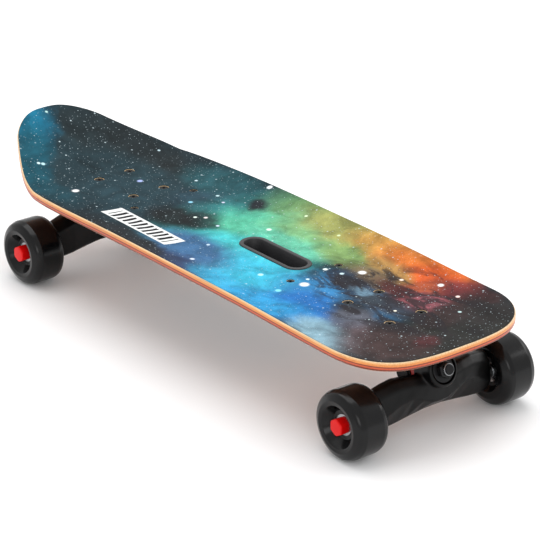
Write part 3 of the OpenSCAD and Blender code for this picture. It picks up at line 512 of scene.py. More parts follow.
    # brush strokes about 5 mm wide that lean like the panel
    upright = addNode(tree, "ShaderNodeCombineXYZ", {}, {"X": leaned, "Y": parts.outputs["Y"]}).outputs[0]
    stroke = addNode(tree, "ShaderNodeTexWave", {"wave_type": "BANDS", "bands_direction": "X", "Scale": 0.034,
                                                 "Distortion": 1.6, "Detail": 2.0, "Detail Scale": 1.3},
                     {"Vector": upright})
    bars = addNode(tree, "ShaderNodeMapRange", {"From Min": 0.4, "From Max": 0.5},
                   {"Value": stroke.outputs["Fac"]}).outputs[0]
    heightNoise = addNode(tree, "ShaderNodeTexNoise", {"Scale": 1 / 9, "Detail": 1.0}, {"Vector": upright})
    reach = addNode(tree, "ShaderNodeMath", {"operation": "MULTIPLY_ADD", 1: 9.0, 2: 4.4},
                    {0: heightNoise.outputs["Fac"]}).outputs[0]
    within = addNode(tree, "ShaderNodeMath", {"operation": "LESS_THAN"}, {0: inY, 1: reach}).outputs[0]
    ends = addNode(tree, "ShaderNodeMapRange", {"From Min": 50, "From Max": 51, "To Min": 1.0, "To Max": 0.0},
                   {"Value": inX}).outputs[0]
    marks = addNode(tree, "ShaderNodeMath", {"operation": "MULTIPLY"}, {0: bars, 1: within}).outputs[0]
    marks = addNode(tree, "ShaderNodeMath", {"operation": "MULTIPLY"}, {0: marks, 1: ends}).outputs[0]
    label = addNode(tree, "ShaderNodeMix", {"data_type": "RGBA"},
                    {0: marks, 6: toLinear("#e9ebea"), 7: toLinear("#1b1c1e")}).outputs[2]
    colour = addNode(tree, "ShaderNodeMix", {"data_type": "RGBA"},
                     {0: onPanel, 6: colour, 7: label}).outputs[2]

    # grit: 0.5 mm grains, drawn at 0.8 mm so that they show
    grit = addNode(tree, "ShaderNodeTexVoronoi", {"Scale": 1 / 0.8}, {"Vector": flat})
    speckle = addNode(tree, "ShaderNodeMapRange", {"From Max": 0.8, "To Min": 1.1, "To Max": 0.86},
                      {"Value": grit.outputs["Distance"]}).outputs[0]
    colour = addNode(tree, "ShaderNodeVectorMath", {"operation": "SCALE"},
                     {0: colour, "Scale": speckle}).outputs[0]
    tree.links.new(colour, bsdf.inputs["Base Color"])
    bsdf.inputs["Roughness"].default_value = 0.72
    bsdf.inputs["Specular IOR Level"].default_value = 0.12
    bump = addNode(tree, "ShaderNodeBump", {"Strength": 0.5, "Distance": 0.00012},
                   {"Height": grit.outputs["Distance"]})
    tree.links.new(bump.outputs["Normal"], bsdf.inputs["Normal"])
    return mat


maplePly = plyMaterial()
printedGrip = gripMaterial()
print("materials made")


deck = {"length": deckHigh.x - deckLow.x, "width": 0.219, "thickness": 0.010, "grip": 0.0008,
        "floorHalf": 0.060, "riseMid": 0.008, "riseEnd": 0.004, "noseRound": 0.078, "tailRound": 0.034,
        "tailTaper": 0.64, "taperStart": 0.060, "taperBlend": 0.037, "kickRise": 0.042, "kickBend": 1.3,
        "kickStart": 0.042, "topEdge": 0.0016, "bottomEdge": 0.003, "gripInset": 0.0012, "rows": 150,
        "columns": 40}
noseX = deck["length"] / 2
tailX = -noseX
kickX = rearBoltX - deck["kickStart"]
taperX = rearBoltX - deck["taperStart"]
middleX = (frontBoltX + rearBoltX) / 2


def endCurve(t, power):
    return (1 - min(max(t, 0.0), 0.998) ** power) ** (1 / 3)


def halfWidth(x):
    back = taperX - x
    narrowing = deck["tailTaper"] * (back + math.sqrt(back * back + deck["taperBlend"] ** 2)) / 2
    nose = endCurve((x - noseX + deck["noseRound"]) / deck["noseRound"], 2.5)
    tail = endCurve((tailX + deck["tailRound"] - x) / deck["tailRound"], 2.1)
    return (deck["width"] / 2 - narrowing) * nose * tail


def lift(x, y):
    swell = math.exp(-((x - middleX) / 0.19) ** 4)
    rise = deck["riseEnd"] + (deck["riseMid"] - deck["riseEnd"]) * swell
    rail = max(abs(y) - deck["floorHalf"], 0) / (deck["width"] / 2 - deck["floorHalf"])
    kick = max(kickX - x, 0) / (kickX - tailX)
    return rise * rail ** 2 + deck["kickRise"] * kick ** deck["kickBend"]


# a sheet that follows the deck, between two heights above its underside, with rounded edges
def skin(name, low, high, inset, topEdge, bottomEdge, steps=5):
    rows, columns = deck["rows"], deck["columns"]
    xs = [tailX + deck["length"] * (1 - math.cos(math.pi * i / rows)) / 2 for i in range(rows + 1)]
    border = [(0, j) for j in range(columns)] + [(i, columns) for i in range(rows)]
    border += [(rows, j) for j in range(columns, 0, -1)] + [(i, 0) for i in range(rows, 0, -1)]
    outer = [Vector((xs[i], halfWidth(xs[i]) * (2 * j / columns - 1))) for i, j in border]
    count = len(border)
    normals = []
    for k in range(count):
        run = outer[(k + 1) % count] - outer[k - 1]
        normals.append(Vector((run.y, -run.x)).normalized() * -1)
    if (outer[0] + normals[0] * 0.01).length < outer[0].length:
        normals = [-n for n in normals]
    outer = [p - n * inset for p, n in zip(outer, normals)]
    bm = bmesh.new()

    def place(p, height):
        return bm.verts.new((p.x, p.y, underZ + lift(p.x, p.y) + height))

    def field(edge, height):
        rim = {ij: outer[k] - normals[k] * edge for k, ij in enumerate(border)}
        grid = {}
        for i in range(rows + 1):
            side = rim[(i, columns)]
            for j in range(columns + 1):
                inside = Vector((side.x, side.y * (2 * j / columns - 1)))
                grid[(i, j)] = place(rim.get((i, j), inside), height)
        return grid

    top, bottom = field(topEdge, high), field(bottomEdge, low)
    for i in range(rows):
        for j in range(columns):
            bm.faces.new((top[i, j], top[i + 1, j], top[i + 1, j + 1], top[i, j + 1]))
            bm.faces.new((bottom[i, j], bottom[i, j + 1], bottom[i + 1, j + 1], bottom[i + 1, j]))
    profile = []
    for k in range(1, steps + 1):
        a = math.pi / 2 * k / steps
        profile.append((topEdge * (1 - math.sin(a)), high - topEdge * (1 - math.cos(a))))
    for k in range(steps):
        a = math.pi / 2 * k / steps
        profile.append((bottomEdge * (1 - math.cos(a)), low + bottomEdge * (1 - math.sin(a))))
    loops = [[top[ij] for ij in border]]
    for back, height in profile:
        loops.append([place(outer[k] - normals[k] * back, height) for k in range(count)])
    loops.append([bottom[ij] for ij in border])
    for one, two in zip(loops, loops[1:]):
        for k in range(count):
            n = (k + 1) % count
            bm.faces.new((one[k], one[n], two[n], two[k]))
    bmesh.ops.recalc_face_normals(bm, faces=bm.faces)
    return link(name, meshFrom(bm, name))


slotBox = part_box("handle_insert")
slotX = (slotBox[0].x + slotBox[1].x) / 2
boltPitch = (63.5, 41.3)
screwLow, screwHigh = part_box("tray_screws")
frontScrewX, rearScrewX = screwHigh.x - 0.0038, screwLow.x + 0.0038
screwSpots = [(frontScrewX, 0.032), (frontScrewX, -0.032), (rearScrewX, 0.040), (rearScrewX, -0.040)]
boltSpots = [(end + i * boltPitch[0] / 2000, j * boltPitch[1] / 2000)
             for end in (frontBoltX, rearBoltX) for i in (-1, 1) for j in (-1, 1)]


# outline with round ends, in metres, and its normals
def stadiumLoop(length, width, steps=20):
    points = []
    for side in (1, -1):
        for k in range(steps + 1):
            a = side * math.pi / 2 - math.pi * k / steps
            normal = Vector((math.cos(a), math.sin(a)))
            points.append((Vector((side * (length - width) / 2, 0)) + normal * width / 2, normal))
    return points


# a closed ring or plug: profile is (grow, z) in metres all the way round its section
def stadiumSolid(name, length, width, profile, x):
    loop = stadiumLoop(length, width)
    bm = bmesh.new()
    rings = []
    for out, z in profile:
        rings.append([bm.verts.new((x + p.x + n.x * out, p.y + n.y * out, z)) for p, n in loop])
    count = len(loop)
    for one, two in zip(rings, rings[1:]):
        for k in range(count):
            j = (k + 1) % count
            bm.faces.new((one[k], one[j], two[j], two[k]))
    bm.faces.new(rings[0])
    bm.faces.new(rings[-1])
    bmesh.ops.recalc_face_normals(bm, faces=bm.faces)
    return link(name, meshFrom(bm, name))


# the tools that cut the deck or the grip; with sink, each hole gets a wide seat for its screw's head
def holes(boltRadius, screwRadius, slotLength, slotWidth, sink):
    tools = []
    low, high = underZ * 1000 - 12, underZ * 1000 + 24
    face = (underZ + deck["thickness"] + deck["grip"]) * 1000
    for spots, radius, narrow, depth in ((boltSpots, boltRadius, 2.7, 4.0),
                                         (screwSpots, screwRadius, 2.3, 3.5)):
        for x, y in spots:
            outline = [(0, low, 0), (radius, low, 0), (radius, high, 0), (0, high, 0)]
            if sink:
                outline = [(0, low, 0), (narrow, low, 0), (narrow, face - depth, 0),
                           (radius, face - depth, 0),
                           (radius, high, 0), (0, high, 0)]
            tools.append(lathe("tool", outline, 40, Matrix.Translation((x, y, 0))))
    tools.append(stadiumSolid("tool", slotLength, slotWidth, [(0, low / 1000), (0, high / 1000)], slotX))
    return joinInto(tools[0], tools[1:])


deckPiece = skin("mapleDeck", 0.0, deck["thickness"], 0.0, deck["topEdge"], deck["bottomEdge"])
cut(deckPiece, holes(5.3, 4.3, 0.0966, 0.0276, True))
heights = deckPiece.data.attributes.new("plyHeight", "FLOAT", "POINT")
for v in deckPiece.data.vertices:
    heights.data[v.index].value = (v.co.z - underZ - lift(v.co.x, v.co.y)) / deck["thickness"]
keep(deckPiece, "board", ["deck"], [maplePly], 32)

gripPiece = skin("printedGripSheet", deck["thickness"], deck["thickness"] + deck["grip"], deck["gripInset"],
                 0.0005, 0.0001, 3)
cut(gripPiece, holes(5.8, 4.5, 0.1016, 0.0326, False))
keep(gripPiece, "board", ["grip_sheet"], [printedGrip], 32)
print("deck and grip made")


insert = {"length": 0.096, "width": 0.027, "lip": 0.0025, "wall": 0.002, "lipHeight": 0.0012, "floor": 0.002}


def handleInsert():
    top = underZ + deck["thickness"] + deck["grip"]
    seat = top - deck["grip"] + 0.00002
    bottom = slotBox[0].z
    lipTop = top + insert["lipHeight"]
    grow, wall = insert["lip"], insert["wall"]
    profile = [(-wall - 0.004, bottom), (-0.0015, bottom), (-0.0004, bottom + 0.0006), (0, bottom + 0.0018)]
    profile += [(0, seat), (grow - 0.0001, seat), (grow, seat + 0.0003), (grow, top + 0.0001)]
    for k in range(7):          # the lip's rounded top
        a = math.pi / 2 * k / 6
        profile.append((grow - 0.0011 * (1 - math.cos(a)), top + 0.0003 + 0.0009 * math.sin(a)))
    profile += [(-wall + 0.0009, lipTop), (-wall + 0.0002, lipTop - 0.0003), (-wall - 0.0002, lipTop - 0.001)]
    profile += [(-wall - 0.0003, bottom + insert["floor"] + 0.003)]
    for k in range(1, 6):       # a soft corner down to the pocket's floor
        a = math.pi / 2 * k / 5
        profile.append((-wall - 0.0003 - 0.003 * (1 - math.cos(a)),
                        bottom + insert["floor"] + 0.003 * (1 - math.sin(a))))
    piece = stadiumSolid("slotInsert", insert["length"], insert["width"], profile, slotX)
    return keep(piece, "board", ["handle_insert"], [greyAbs], 40)


handleInsert()


# four screws at the corners of a rectangle: a head with a hexagon socket, on a shank
def fastenerTree(name, material):
    tree = bpy.data.node_groups.new(name, "GeometryNodeTree")
    face = tree.interface
    face.new_socket(name="Geometry", in_out="OUTPUT", socket_type="NodeSocketGeometry")
    for label in ("Pitch Along", "Pitch Across", "Head Radius", "Head Height", "Shank Radius", "Shank Length",
                  "Key Radius", "Key Depth"):
        face.new_socket(name=label, in_out="INPUT", socket_type="NodeSocketFloat")
    face.new_socket(name="Place", in_out="INPUT", socket_type="NodeSocketVector")
    given = addNode(tree, "NodeGroupInput").outputs
    head = addNode(tree, "GeometryNodeMeshCylinder", {"Vertices": 40},
                   {"Radius": given["Head Radius"], "Depth": given["Head Height"]})
    key = addNode(tree, "GeometryNodeMeshCylinder", {"Vertices": 6},
                  {"Radius": given["Key Radius"], "Depth": given["Key Depth"]})
    halfHead = addNode(tree, "ShaderNodeMath", {"operation": "MULTIPLY", 1: -0.5}, {0: given["Head Height"]})
    keyUp = addNode(tree, "ShaderNodeCombineXYZ", {}, {"Z": halfHead.outputs[0]})
    up = addNode(tree, "ShaderNodeVectorMath", {"operation": "SCALE", "Scale": -1.0}, {0: keyUp.outputs[0]})
    lifted = addNode(tree, "GeometryNodeTransform", {},
                     {"Geometry": key.outputs["Mesh"], "Translation": up.outputs[0]})
    socketed = addNode(tree, "GeometryNodeMeshBoolean", {"operation": "DIFFERENCE"},
                       {0: head.outputs["Mesh"]})
    tree.links.new(lifted.outputs[0], socketed.inputs[1])
    shank = addNode(tree, "GeometryNodeMeshCylinder", {"Vertices": 24},
                    {"Radius": given["Shank Radius"], "Depth": given["Shank Length"]})
    drop = addNode(tree, "ShaderNodeMath", {"operation": "MULTIPLY_ADD", 1: -0.5},
                   {0: given["Shank Length"], 2: halfHead.outputs[0]})
    down = addNode(tree, "ShaderNodeCombineXYZ", {}, {"Z": drop.outputs[0]})
    shankDown = addNode(tree, "GeometryNodeTransform", {},
                        {"Geometry": shank.outputs["Mesh"], "Translation": down.outputs[0]})
    one = addNode(tree, "GeometryNodeJoinGeometry")
    tree.links.new(socketed.outputs["Mesh"], one.inputs[0])
    tree.links.new(shankDown.outputs[0], one.inputs[0])
    grid = addNode(tree, "GeometryNodeMeshGrid", {"Vertices X": 2, "Vertices Y": 2},
                   {"Size X": given["Pitch Along"], "Size Y": given["Pitch Across"]})
    moved = addNode(tree, "GeometryNodeTransform", {}, {"Geometry": grid.outputs["Mesh"],
                                                        "Translation": given["Place"]})
    copies = addNode(tree, "GeometryNodeInstanceOnPoints", {},
                     {"Points": moved.outputs[0], "Instance": one.outputs[0]})
    real = addNode(tree, "GeometryNodeRealizeInstances", {}, {0: copies.outputs[0]})
    dressed = addNode(tree, "GeometryNodeSetMaterial", {"Material": material}, {"Geometry": real.outputs[0]})
    addNode(tree, "NodeGroupOutput", {}, {0: dressed.outputs[0]})
    return tree


# runs a tree on an empty mesh with its inputs set, and keeps the result as a plain mesh
def grow(tree, name, values):
    obj = link(name, bpy.data.meshes.new(name))
    mod = obj.modifiers.new("make", "NODES")
    mod.node_group = tree
    known = {i.name: i.identifier for i in tree.interface.items_tree if i.in_out == "INPUT"}
    for label, value in values.items():
        mod[known[label]] = value
    return bake(obj)


screwTree = fastenerTree("cornerScrews", blackSteel)
gripTop = underZ + deck["thickness"] + deck["grip"]
truckScrew = {"Head Radius": 0.0048, "Head Height": 0.003, "Shank Radius": 0.0025, "Shank Length": 0.0228,
              "Key Radius": 0.0019, "Key Depth": 0.0036}
caseScrew = {"Head Radius": 0.0038, "Head Height": 0.0027, "Shank Radius": 0.002, "Shank Length": 0.0253,
             "Key Radius": 0.0015, "Key Depth": 0.0032}
sets = []
for spotX in (frontBoltX, rearBoltX):
    sets.append(grow(screwTree, "truckScrews", {**truckScrew, "Pitch Along": boltPitch[0] / 1000,
                                                "Pitch Across": boltPitch[1] / 1000,
                                                "Place": (spotX, 0, gripTop - 0.001 - 0.0015)}))
keep(joinInto(sets[0], sets[1:]), "board", ["truck_bolts"], [blackSteel], 30)
sets = []
for spotX, spotY in ((frontScrewX, 0.032), (rearScrewX, 0.040)):
    pair = grow(screwTree, "caseScrews", {**caseScrew, "Pitch Along": 0.0, "Pitch Across": 2 * spotY,
                                          "Place": (spotX, 0, gripTop - 0.0008 - 0.00135)})
    tidyNormals(pair.data)
    sets.append(pair)
keep(joinInto(sets[0], sets[1:]), "board", ["tray_screws"], [blackSteel], 30)
print("fasteners made")


hanger = {"voxel": 0.0011, "smooth": 7, "stubRadius": 7, "stubEnd": 82.2, "wingEnd": 74, "motorWingEnd": 64,
          # across from the middle, then top, ridge out, ridge up, back and bottom, all from the axle in mm
          "sections": [(0, 33, 22, 2, -3.5, -11), (10, 31, 22, 3, -3.5, -11), (22, 30, 21, 8, -4.5, -12.5),
                       (34, 31.5, 19.5, 13, -6.5, -14), (48, 32, 17.5, 10, -9, -16),
                       (61, 29.5, 15.5, 3, -10, -17), (74, 26.5, 13.5, -3, -10, -16.5)]}


def hangerSection(top, ridgeOut, ridgeUp, back, bottom):
    return filleted([(back, bottom + 4, 3), (-3, bottom, 3), (7, bottom + 1, 3), (ridgeOut, ridgeUp, 2.5),
                     (ridgeOut - 3, top - 8, 3), (ridgeOut - 10, top, 4), (back + 6, top - 1, 4),
                     (back, top - 12, 4)], 4)


# the cast hanger: a winged beam round the axle with a ring for the kingpin
def makeHanger(end, leftEnd, rightEnd):
    bm = bmesh.new()
    rings = []
    reach = hanger["sections"][-1][0]
    for side, last in ((-1, rightEnd), (1, leftEnd)):
        rows = []
        for y, top, out, up, back, bottom in hanger["sections"]:
            if side < 0 and y == 0:
                continue
            spot = y if y < 50 else 50 + (y - 50) * (last - 50) / (reach - 50)
            rows.append([(p.x, side * spot, p.y) for p in hangerSection(top, out, up, back, bottom)])
        rings = rings[::-1] + rows if side > 0 else rows
    loops = [[bm.verts.new(p) for p in ring] for ring in rings]
    count = len(loops[0])
    for one, two in zip(loops, loops[1:]):
        for k in range(count):
            j = (k + 1) % count
            bm.faces.new((one[k], one[j], two[j], two[k]))
    bm.faces.new(loops[0])
    bm.faces.new(loops[-1])
    bmesh.ops.recalc_face_normals(bm, faces=bm.faces)
    bmesh.ops.transform(bm, matrix=truckMatrix(end), verts=bm.verts)
    body = link("hanger", meshFrom(bm, "hanger"))
    ring = lathe("ring", [(0, ringFrom, 0), (truck["ringRadius"], ringFrom, 2),
                          (truck["ringRadius"], ringTo, 2.5), (0, ringTo, 0)], 64, kingpinMatrix(end))
    joinInto(body, [ring])
    mod = body.modifiers.new("weld", "REMESH")
    mod.mode = "VOXEL"
    mod.voxel_size = hanger["voxel"]
    soften = body.modifiers.new("soften", "SMOOTH")
    soften.factor = 0.5
    soften.iterations = hanger["smooth"]
    bake(body)
    bore = lathe("bore", [(0, -25, 0), (14.6, -25, 0), (14.6, ringFrom, 0.5), (7.0, ringFrom, 0.3),
                          (7.0, ringFloor, 0.3), (14.2, ringFloor, 0.8), (15.2, ringTo + 1, 0), (15.2, 70, 0),
                          (0, 70, 0)], 64, kingpinMatrix(end))
    cut(body, bore)
    return body


# the machined end of the casting that the inner bearing's washer sits on
def axleStub(end, name, side, fromY, toY):
    r = hanger["stubRadius"]
    x = frontAxleX if end > 0 else rearAxleX
    return lathe(name, [(4.0, fromY - 6, 0), (r + 1.5, fromY - 6, 0), (r + 1.5, fromY + 1, 0.8),
                        (r, fromY + 2, 0.5), (r, toY, 0.6), (4.0, toY, 0)], 48, axleMatrix(x, side, 0))


frontHanger = makeHanger(1, hanger["wingEnd"], hanger["wingEnd"])
joinInto(frontHanger, [axleStub(1, "stub", s, hanger["wingEnd"], hanger["stubEnd"]) for s in (1, -1)])
frontHanger.name = "frontHangerCasting"
keep(frontHanger, "front_truck_hanger", ["front_hanger"], [castPaint], 40)
rearHanger = makeHanger(-1, hanger["wingEnd"], hanger["motorWingEnd"])
joinInto(rearHanger, [axleStub(-1, "stub", -1, hanger["wingEnd"], hanger["stubEnd"])])
rearHanger.name = "rearHangerCasting"
keep(rearHanger, "rear_truck_hanger", ["rear_hanger"], [castPaint], 40)
print("hangers made")

plate = {"length": 84, "width": 57.3, "corner": 8, "thick": 6, "riser": 3, "voxel": 0.001, "smooth": 4}


# flat plate with round corners, in a truck's millimetres
def roundPlate(name, length, width, corner, low, high, edge, place):
    bm = bmesh.new()
    outline = []
    for cx, cy, first in ((1, 1, 0), (-1, 1, 90), (-1, -1, 180), (1, -1, 270)):
        for k in range(9):
            a = math.radians(first + 90 * k / 8)
            outline.append((Vector((cx * (length / 2 - corner), cy * (width / 2 - corner))),
                            Vector((math.cos(a), math.sin(a)))))
    rings = []
    for back, z in ((edge, low), (0, low + edge), (0, high - edge), (edge, high)):
        out = corner - back
        rings.append([bm.verts.new((c.x + n.x * out, c.y + n.y * out, z)) for c, n in outline])
    count = len(outline)
    for one, two in zip(rings, rings[1:]):
        for k in range(count):
            j = (k + 1) % count
            bm.faces.new((one[k], one[j], two[j], two[k]))
    bm.faces.new(rings[0])
    bm.faces.new(rings[-1])
    bmesh.ops.recalc_face_normals(bm, faces=bm.faces)
    bmesh.ops.transform(bm, matrix=place, verts=bm.verts)
    return link(name, meshFrom(bm, name))


def hullOf(name, points, place):
    bm = bmesh.new()
    for p in points:
        bm.verts.new(p)
    made = bmesh.ops.convex_hull(bm, input=bm.verts)
    bmesh.ops.delete(bm, geom=[v for v in made["geom_interior"] if isinstance(v, bmesh.types.BMVert)],
                     context="VERTS")
    bmesh.ops.recalc_face_normals(bm, faces=bm.faces)
    bmesh.ops.transform(bm, matrix=place, verts=bm.verts)
    return link(name, meshFrom(bm, name))


# cast baseplate: bolted flange, the block that carries the kingpin, and two gussets
def makeBaseplate(end, name, node):
    boltX = (frontBoltX if end > 0 else rearBoltX)
    axleX = (frontAxleX if end > 0 else rearAxleX)
    out = abs(axleX - boltX) * 1000
    under = (underZ - axleZ) * 1000            # underside of the deck above the axle
    top = under - plate["riser"]
    low = top - plate["thick"]
    place = truckMatrix(end)
    centred = place @ Matrix.Translation((-out, 0, 0))
    body = roundPlate(name, plate["length"], plate["width"], plate["corner"], low, top, 1.2, centred)
    tilt = math.radians(truck["angle"])
    along = Vector((math.cos(tilt), 0, math.sin(tilt)))
    across = Vector((-math.sin(tilt), 0, math.cos(tilt)))
    seat = Vector((-truck["seatBack"], 0, truck["seatUp"]))
    points = [(-36, j * 11, z) for j in (-1, 1) for z in (low - 0.5, low + 2)]
    points += [(-12, j * 11, z) for j in (-1, 1) for z in (low - 0.5, low + 2)]
    for back in (-17.6, -0.4):
        for k in range(24):
            a = 2 * math.pi * k / 24
            spoke = across * math.cos(a) + Vector((0, 1, 0)) * math.sin(a)
            points.append(seat + along * back + spoke * 14.6)
    block = hullOf("block", points, place)
    gussetShape = [(-50, 15, low + 1), (-14, 15, low + 1), (-26, 12.5, low - 12), (-19, 12.5, low - 12)]
    gussets = [hullOf("gusset", [(x, j * (y + t), z) for t in (-2, 2) for x, y, z in gussetShape], place)
               for j in (-1, 1)]
    joinInto(body, [block, *gussets])
    mod = body.modifiers.new("weld", "REMESH")
    mod.mode = "VOXEL"
    mod.voxel_size = plate["voxel"]
    soften = body.modifiers.new("soften", "SMOOTH")
    soften.factor = 0.5
    soften.iterations = plate["smooth"]
    bake(body)
    tools = [lathe("tool", [(0, -40, 0), (5.0, -40, 0), (5.0, 30, 0), (0, 30, 0)], 48, kingpinMatrix(end)),
             lathe("tool", [(0, -40, 0), (11, -40, 0), (11, -18, 0), (0, -18, 0)], 48, kingpinMatrix(end)),
             lathe("tool", [(0, 0, 0), (25, 0, 0), (25, ringFrom + 6, 0), (0, ringFrom + 6, 0)], 64,
                   kingpinMatrix(end))]
    for i in (-1, 1):
        for j in (-1, 1):
            spot = Matrix.Translation((boltX + i * boltPitch[0] / 2000, j * boltPitch[1] / 2000, 0))
            base = (underZ - 0.003 - 0.006) * 1000
            tools.append(lathe("tool", [(0, base - 14, 0), (5.6, base - 14, 0), (5.6, base + 0.4, 0),
                                        (2.7, base + 0.4, 0), (2.7, base + 12, 0), (0, base + 12, 0)],
                               36, spot))
    for tool in tools:
        cut(body, tool)
    return keep(body, "board", [node], [castPaint], 40)


makeBaseplate(1, "frontBaseplateCasting", "front_baseplate")
makeBaseplate(-1, "rearBaseplateCasting", "rear_baseplate")
print("baseplates made")


# bushings, cup washers, nut and bolt end on one kingpin; side is 'front' or 'rear'
def kingpinParts(end, side):
    place = kingpinMatrix(end)
    red = lathe(side + "RedBushing", [(5.2, 1.55, 0.3), (11.6, 1.55, 1.2), (12.5, 4.5, 3), (12.5, 10.5, 3),
                                      (11.6, 13.4, 1.2), (5.2, 13.4, 0.3)], 64, place)
    keep(red, "board", [side + "_red_bushing"], [redUrethane])
    dark = lathe(side + "RoadBushing", [(5.2, ringFloor + 0.05, 0.3), (12, ringFloor + 0.05, 0.8),
                                        (10.6, ringFloor + 8.9, 1), (5.2, ringFloor + 8.9, 0.3)], 64, place)
    keep(dark, "board", [side + "_road_bushing"], [blackRubber])
    cups = [lathe("cup", [(5.05, 0, 0), (13, 0, 0.4), (13, 2.6, 0.3), (12.6, 2.6, 0.3), (12.4, 1.5, 0.4),
                          (5.05, 1.5, 0)],
                  64, place),
            lathe("cup", [(5.05, 37.95, 0), (12.2, 37.95, 0.4), (12.9, 36.8, 0.2), (13.2, 36.8, 0.2),
                          (13.2, 39.2, 0.6), (5.05, 39.4, 0)], 64, place)]
    nutPlace = kingpinMatrix(end, 39.5)
    corners = 16 / math.sqrt(3)
    nut = lathe("nut", [(5.0, 0, 0), (corners, 0, 0.3), (corners, 4.9, 0.2), (corners - 1.4, 6, 0.2),
                        (6.9, 6, 0.4), (6.6, 8.2, 0.8), (5.4, 8.4, 0.5), (5.0, 7.4, 0)], 6, nutPlace)
    collar = lathe("collar", [(5.05, 5.6, 0), (6.3, 5.6, 0), (6.3, 8.6, 0.9), (5.05, 8.4, 0.5)], 48, nutPlace)
    return cups, nut, collar


cupParts, nutParts, collarParts = [], [], []
for end, side in ((1, "front"), (-1, "rear")):
    cups, nut, collar = kingpinParts(end, side)
    cupParts += cups
    nutParts.append(nut)
    collarParts.append(collar)
cupParts[0].name = "cupWashers"
keep(joinInto(cupParts[0], cupParts[1:]), "board", ["cup_washers"], [blackSteel])
nutParts[0].name = "kingpinNuts"
keep(joinInto(nutParts[0], nutParts[1:]), "board", ["kingpin_nuts"], [blackSteel], 20)
collarParts[0].name = "kingpinNutCollars"
keep(joinInto(collarParts[0], collarParts[1:]), "board", [], [zincSteel])
print("kingpins made")


faceY = 0.118
wheel = {"radius": 36, "width": 42, "lip": 26.5, "dish": 11, "core": 15, "motorWidth": 52, "canRadius": 31}


# one poured wheel: tread, round shoulders, raised lip and a dished centre
def wheelPiece(name, x, side, body, node):
    r, w, lip, core = wheel["radius"], wheel["width"], wheel["lip"], wheel["core"]
    outline = [(r, 10, 5), (r, w - 10, 5), (r - 1.2, w - 5, 6), (r - 9, w, 5), (lip - 6, w, 1.2),
               (19, w - 2, 1), (core, w - 7, 1), (11, w - 7, 0.3), (11, w - 14, 0.2), (8, w - 14, 0),
               (8, 18, 0), (11, 18, 0.2), (11, 11, 0.3), (core, 11, 1.5), (20.5, 3.2, 5), (22.2, 0.9, 1.6),
               (lip, 0, 2.2), (r - 2.4, 3.2, 7)]
    place = axleMatrix(x, side, faceY) @ Matrix.Rotation(math.pi, 4, "X")
    piece = lathe(name, outline, 128, place, 8)
    return keep(piece, body, [node], [wheelUrethane], 50)


for name, x, side in (("front_right", frontAxleX, -1), ("front_left", frontAxleX, 1),
                      ("rear_right", rearAxleX, -1)):
    wheelPiece(name.replace("_", "-") + "-urethane", x, side, name + "_roller", name + "_wheel")


# hub motor: a thin tyre on a black can with its outer end plate
def motorWheel():
    r, w, c = wheel["radius"], wheel["motorWidth"], wheel["canRadius"]
    place = axleMatrix(rearAxleX, 1, faceY) @ Matrix.Rotation(math.pi, 4, "X")
    tyre = lathe("motorTyre", [(r, 9, 5), (r, w - 9, 5), (r - 1.4, w - 3.5, 3), (c, w - 1.2, 0.6),
                               (c, 1.2, 0.6), (r - 1.4, 3.5, 3)], 128, place, 8)
    keep(tyre, "motor_roller", ["motor_tyre"], [wheelUrethane], 50)
    can = lathe("motorCan", [(c - 0.02, 11, 1), (c - 0.02, w, 0.6), (28, w, 0.3), (28, 20, 0), (14.05, 20, 0),
                             (14.05, 11, 0.8), (18, 11, 1.2), (19.5, 13, 1.5), (26, 13, 1.5),
                             (27.5, 11, 1.2)], 128, place, 5)
    keep(can, "motor_roller", ["motor_can"], [anodised], 40)


motorWheel()


# a screw and a rib at each of several even places round an axle
def ribTree(material):
    tree = bpy.data.node_groups.new("ringOfParts", "GeometryNodeTree")
    face = tree.interface
    face.new_socket(name="Geometry", in_out="OUTPUT", socket_type="NodeSocketGeometry")
    face.new_socket(name="Count", in_out="INPUT", socket_type="NodeSocketInt")
    for label in ("Ring Radius", "Part Radius", "Part Height", "Rib Length", "Rib Width"):
        face.new_socket(name=label, in_out="INPUT", socket_type="NodeSocketFloat")
    given = addNode(tree, "NodeGroupInput").outputs
    circle = addNode(tree, "GeometryNodeMeshCircle", {},
                     {"Vertices": given["Count"], "Radius": given["Ring Radius"]})
    screw = addNode(tree, "GeometryNodeMeshCylinder", {"Vertices": 24},
                    {"Radius": given["Part Radius"], "Depth": given["Part Height"]})
    size = addNode(tree, "ShaderNodeCombineXYZ", {}, {"X": given["Rib Length"], "Y": given["Rib Width"],
                                                      "Z": given["Part Height"]})
    rib = addNode(tree, "GeometryNodeMeshCube", {}, {"Size": size.outputs[0]})
    both = addNode(tree, "GeometryNodeJoinGeometry")
    tree.links.new(screw.outputs["Mesh"], both.inputs[0])
    tree.links.new(rib.outputs["Mesh"], both.inputs[0])
    outward = addNode(tree, "FunctionNodeAlignRotationToVector", {"axis": "X"},
                      {"Vector": addNode(tree, "GeometryNodeInputPosition").outputs[0]})
    copies = addNode(tree, "GeometryNodeInstanceOnPoints", {}, {"Points": circle.outputs["Mesh"],
                                                                "Instance": both.outputs[0],
                                                                "Rotation": outward.outputs[0]})
    real = addNode(tree, "GeometryNodeRealizeInstances", {}, {0: copies.outputs[0]})
    dressed = addNode(tree, "GeometryNodeSetMaterial", {"Material": material}, {"Geometry": real.outputs[0]})
    addNode(tree, "NodeGroupOutput", {}, {0: dressed.outputs[0]})
    return tree


ribs = grow(ribTree(anodised), "motorEndPlateRibs", {"Count": 8, "Ring Radius": 0.0227, "Part Radius": 0.0021,
                                                     "Part Height": 0.0022, "Rib Length": 0.0085,
                                                     "Rib Width": 0.0022})
ribs.data.transform(axleMatrix(rearAxleX, 1, faceY - 0.0122))
keep(ribs, "motor_roller", [], [anodised], 30)

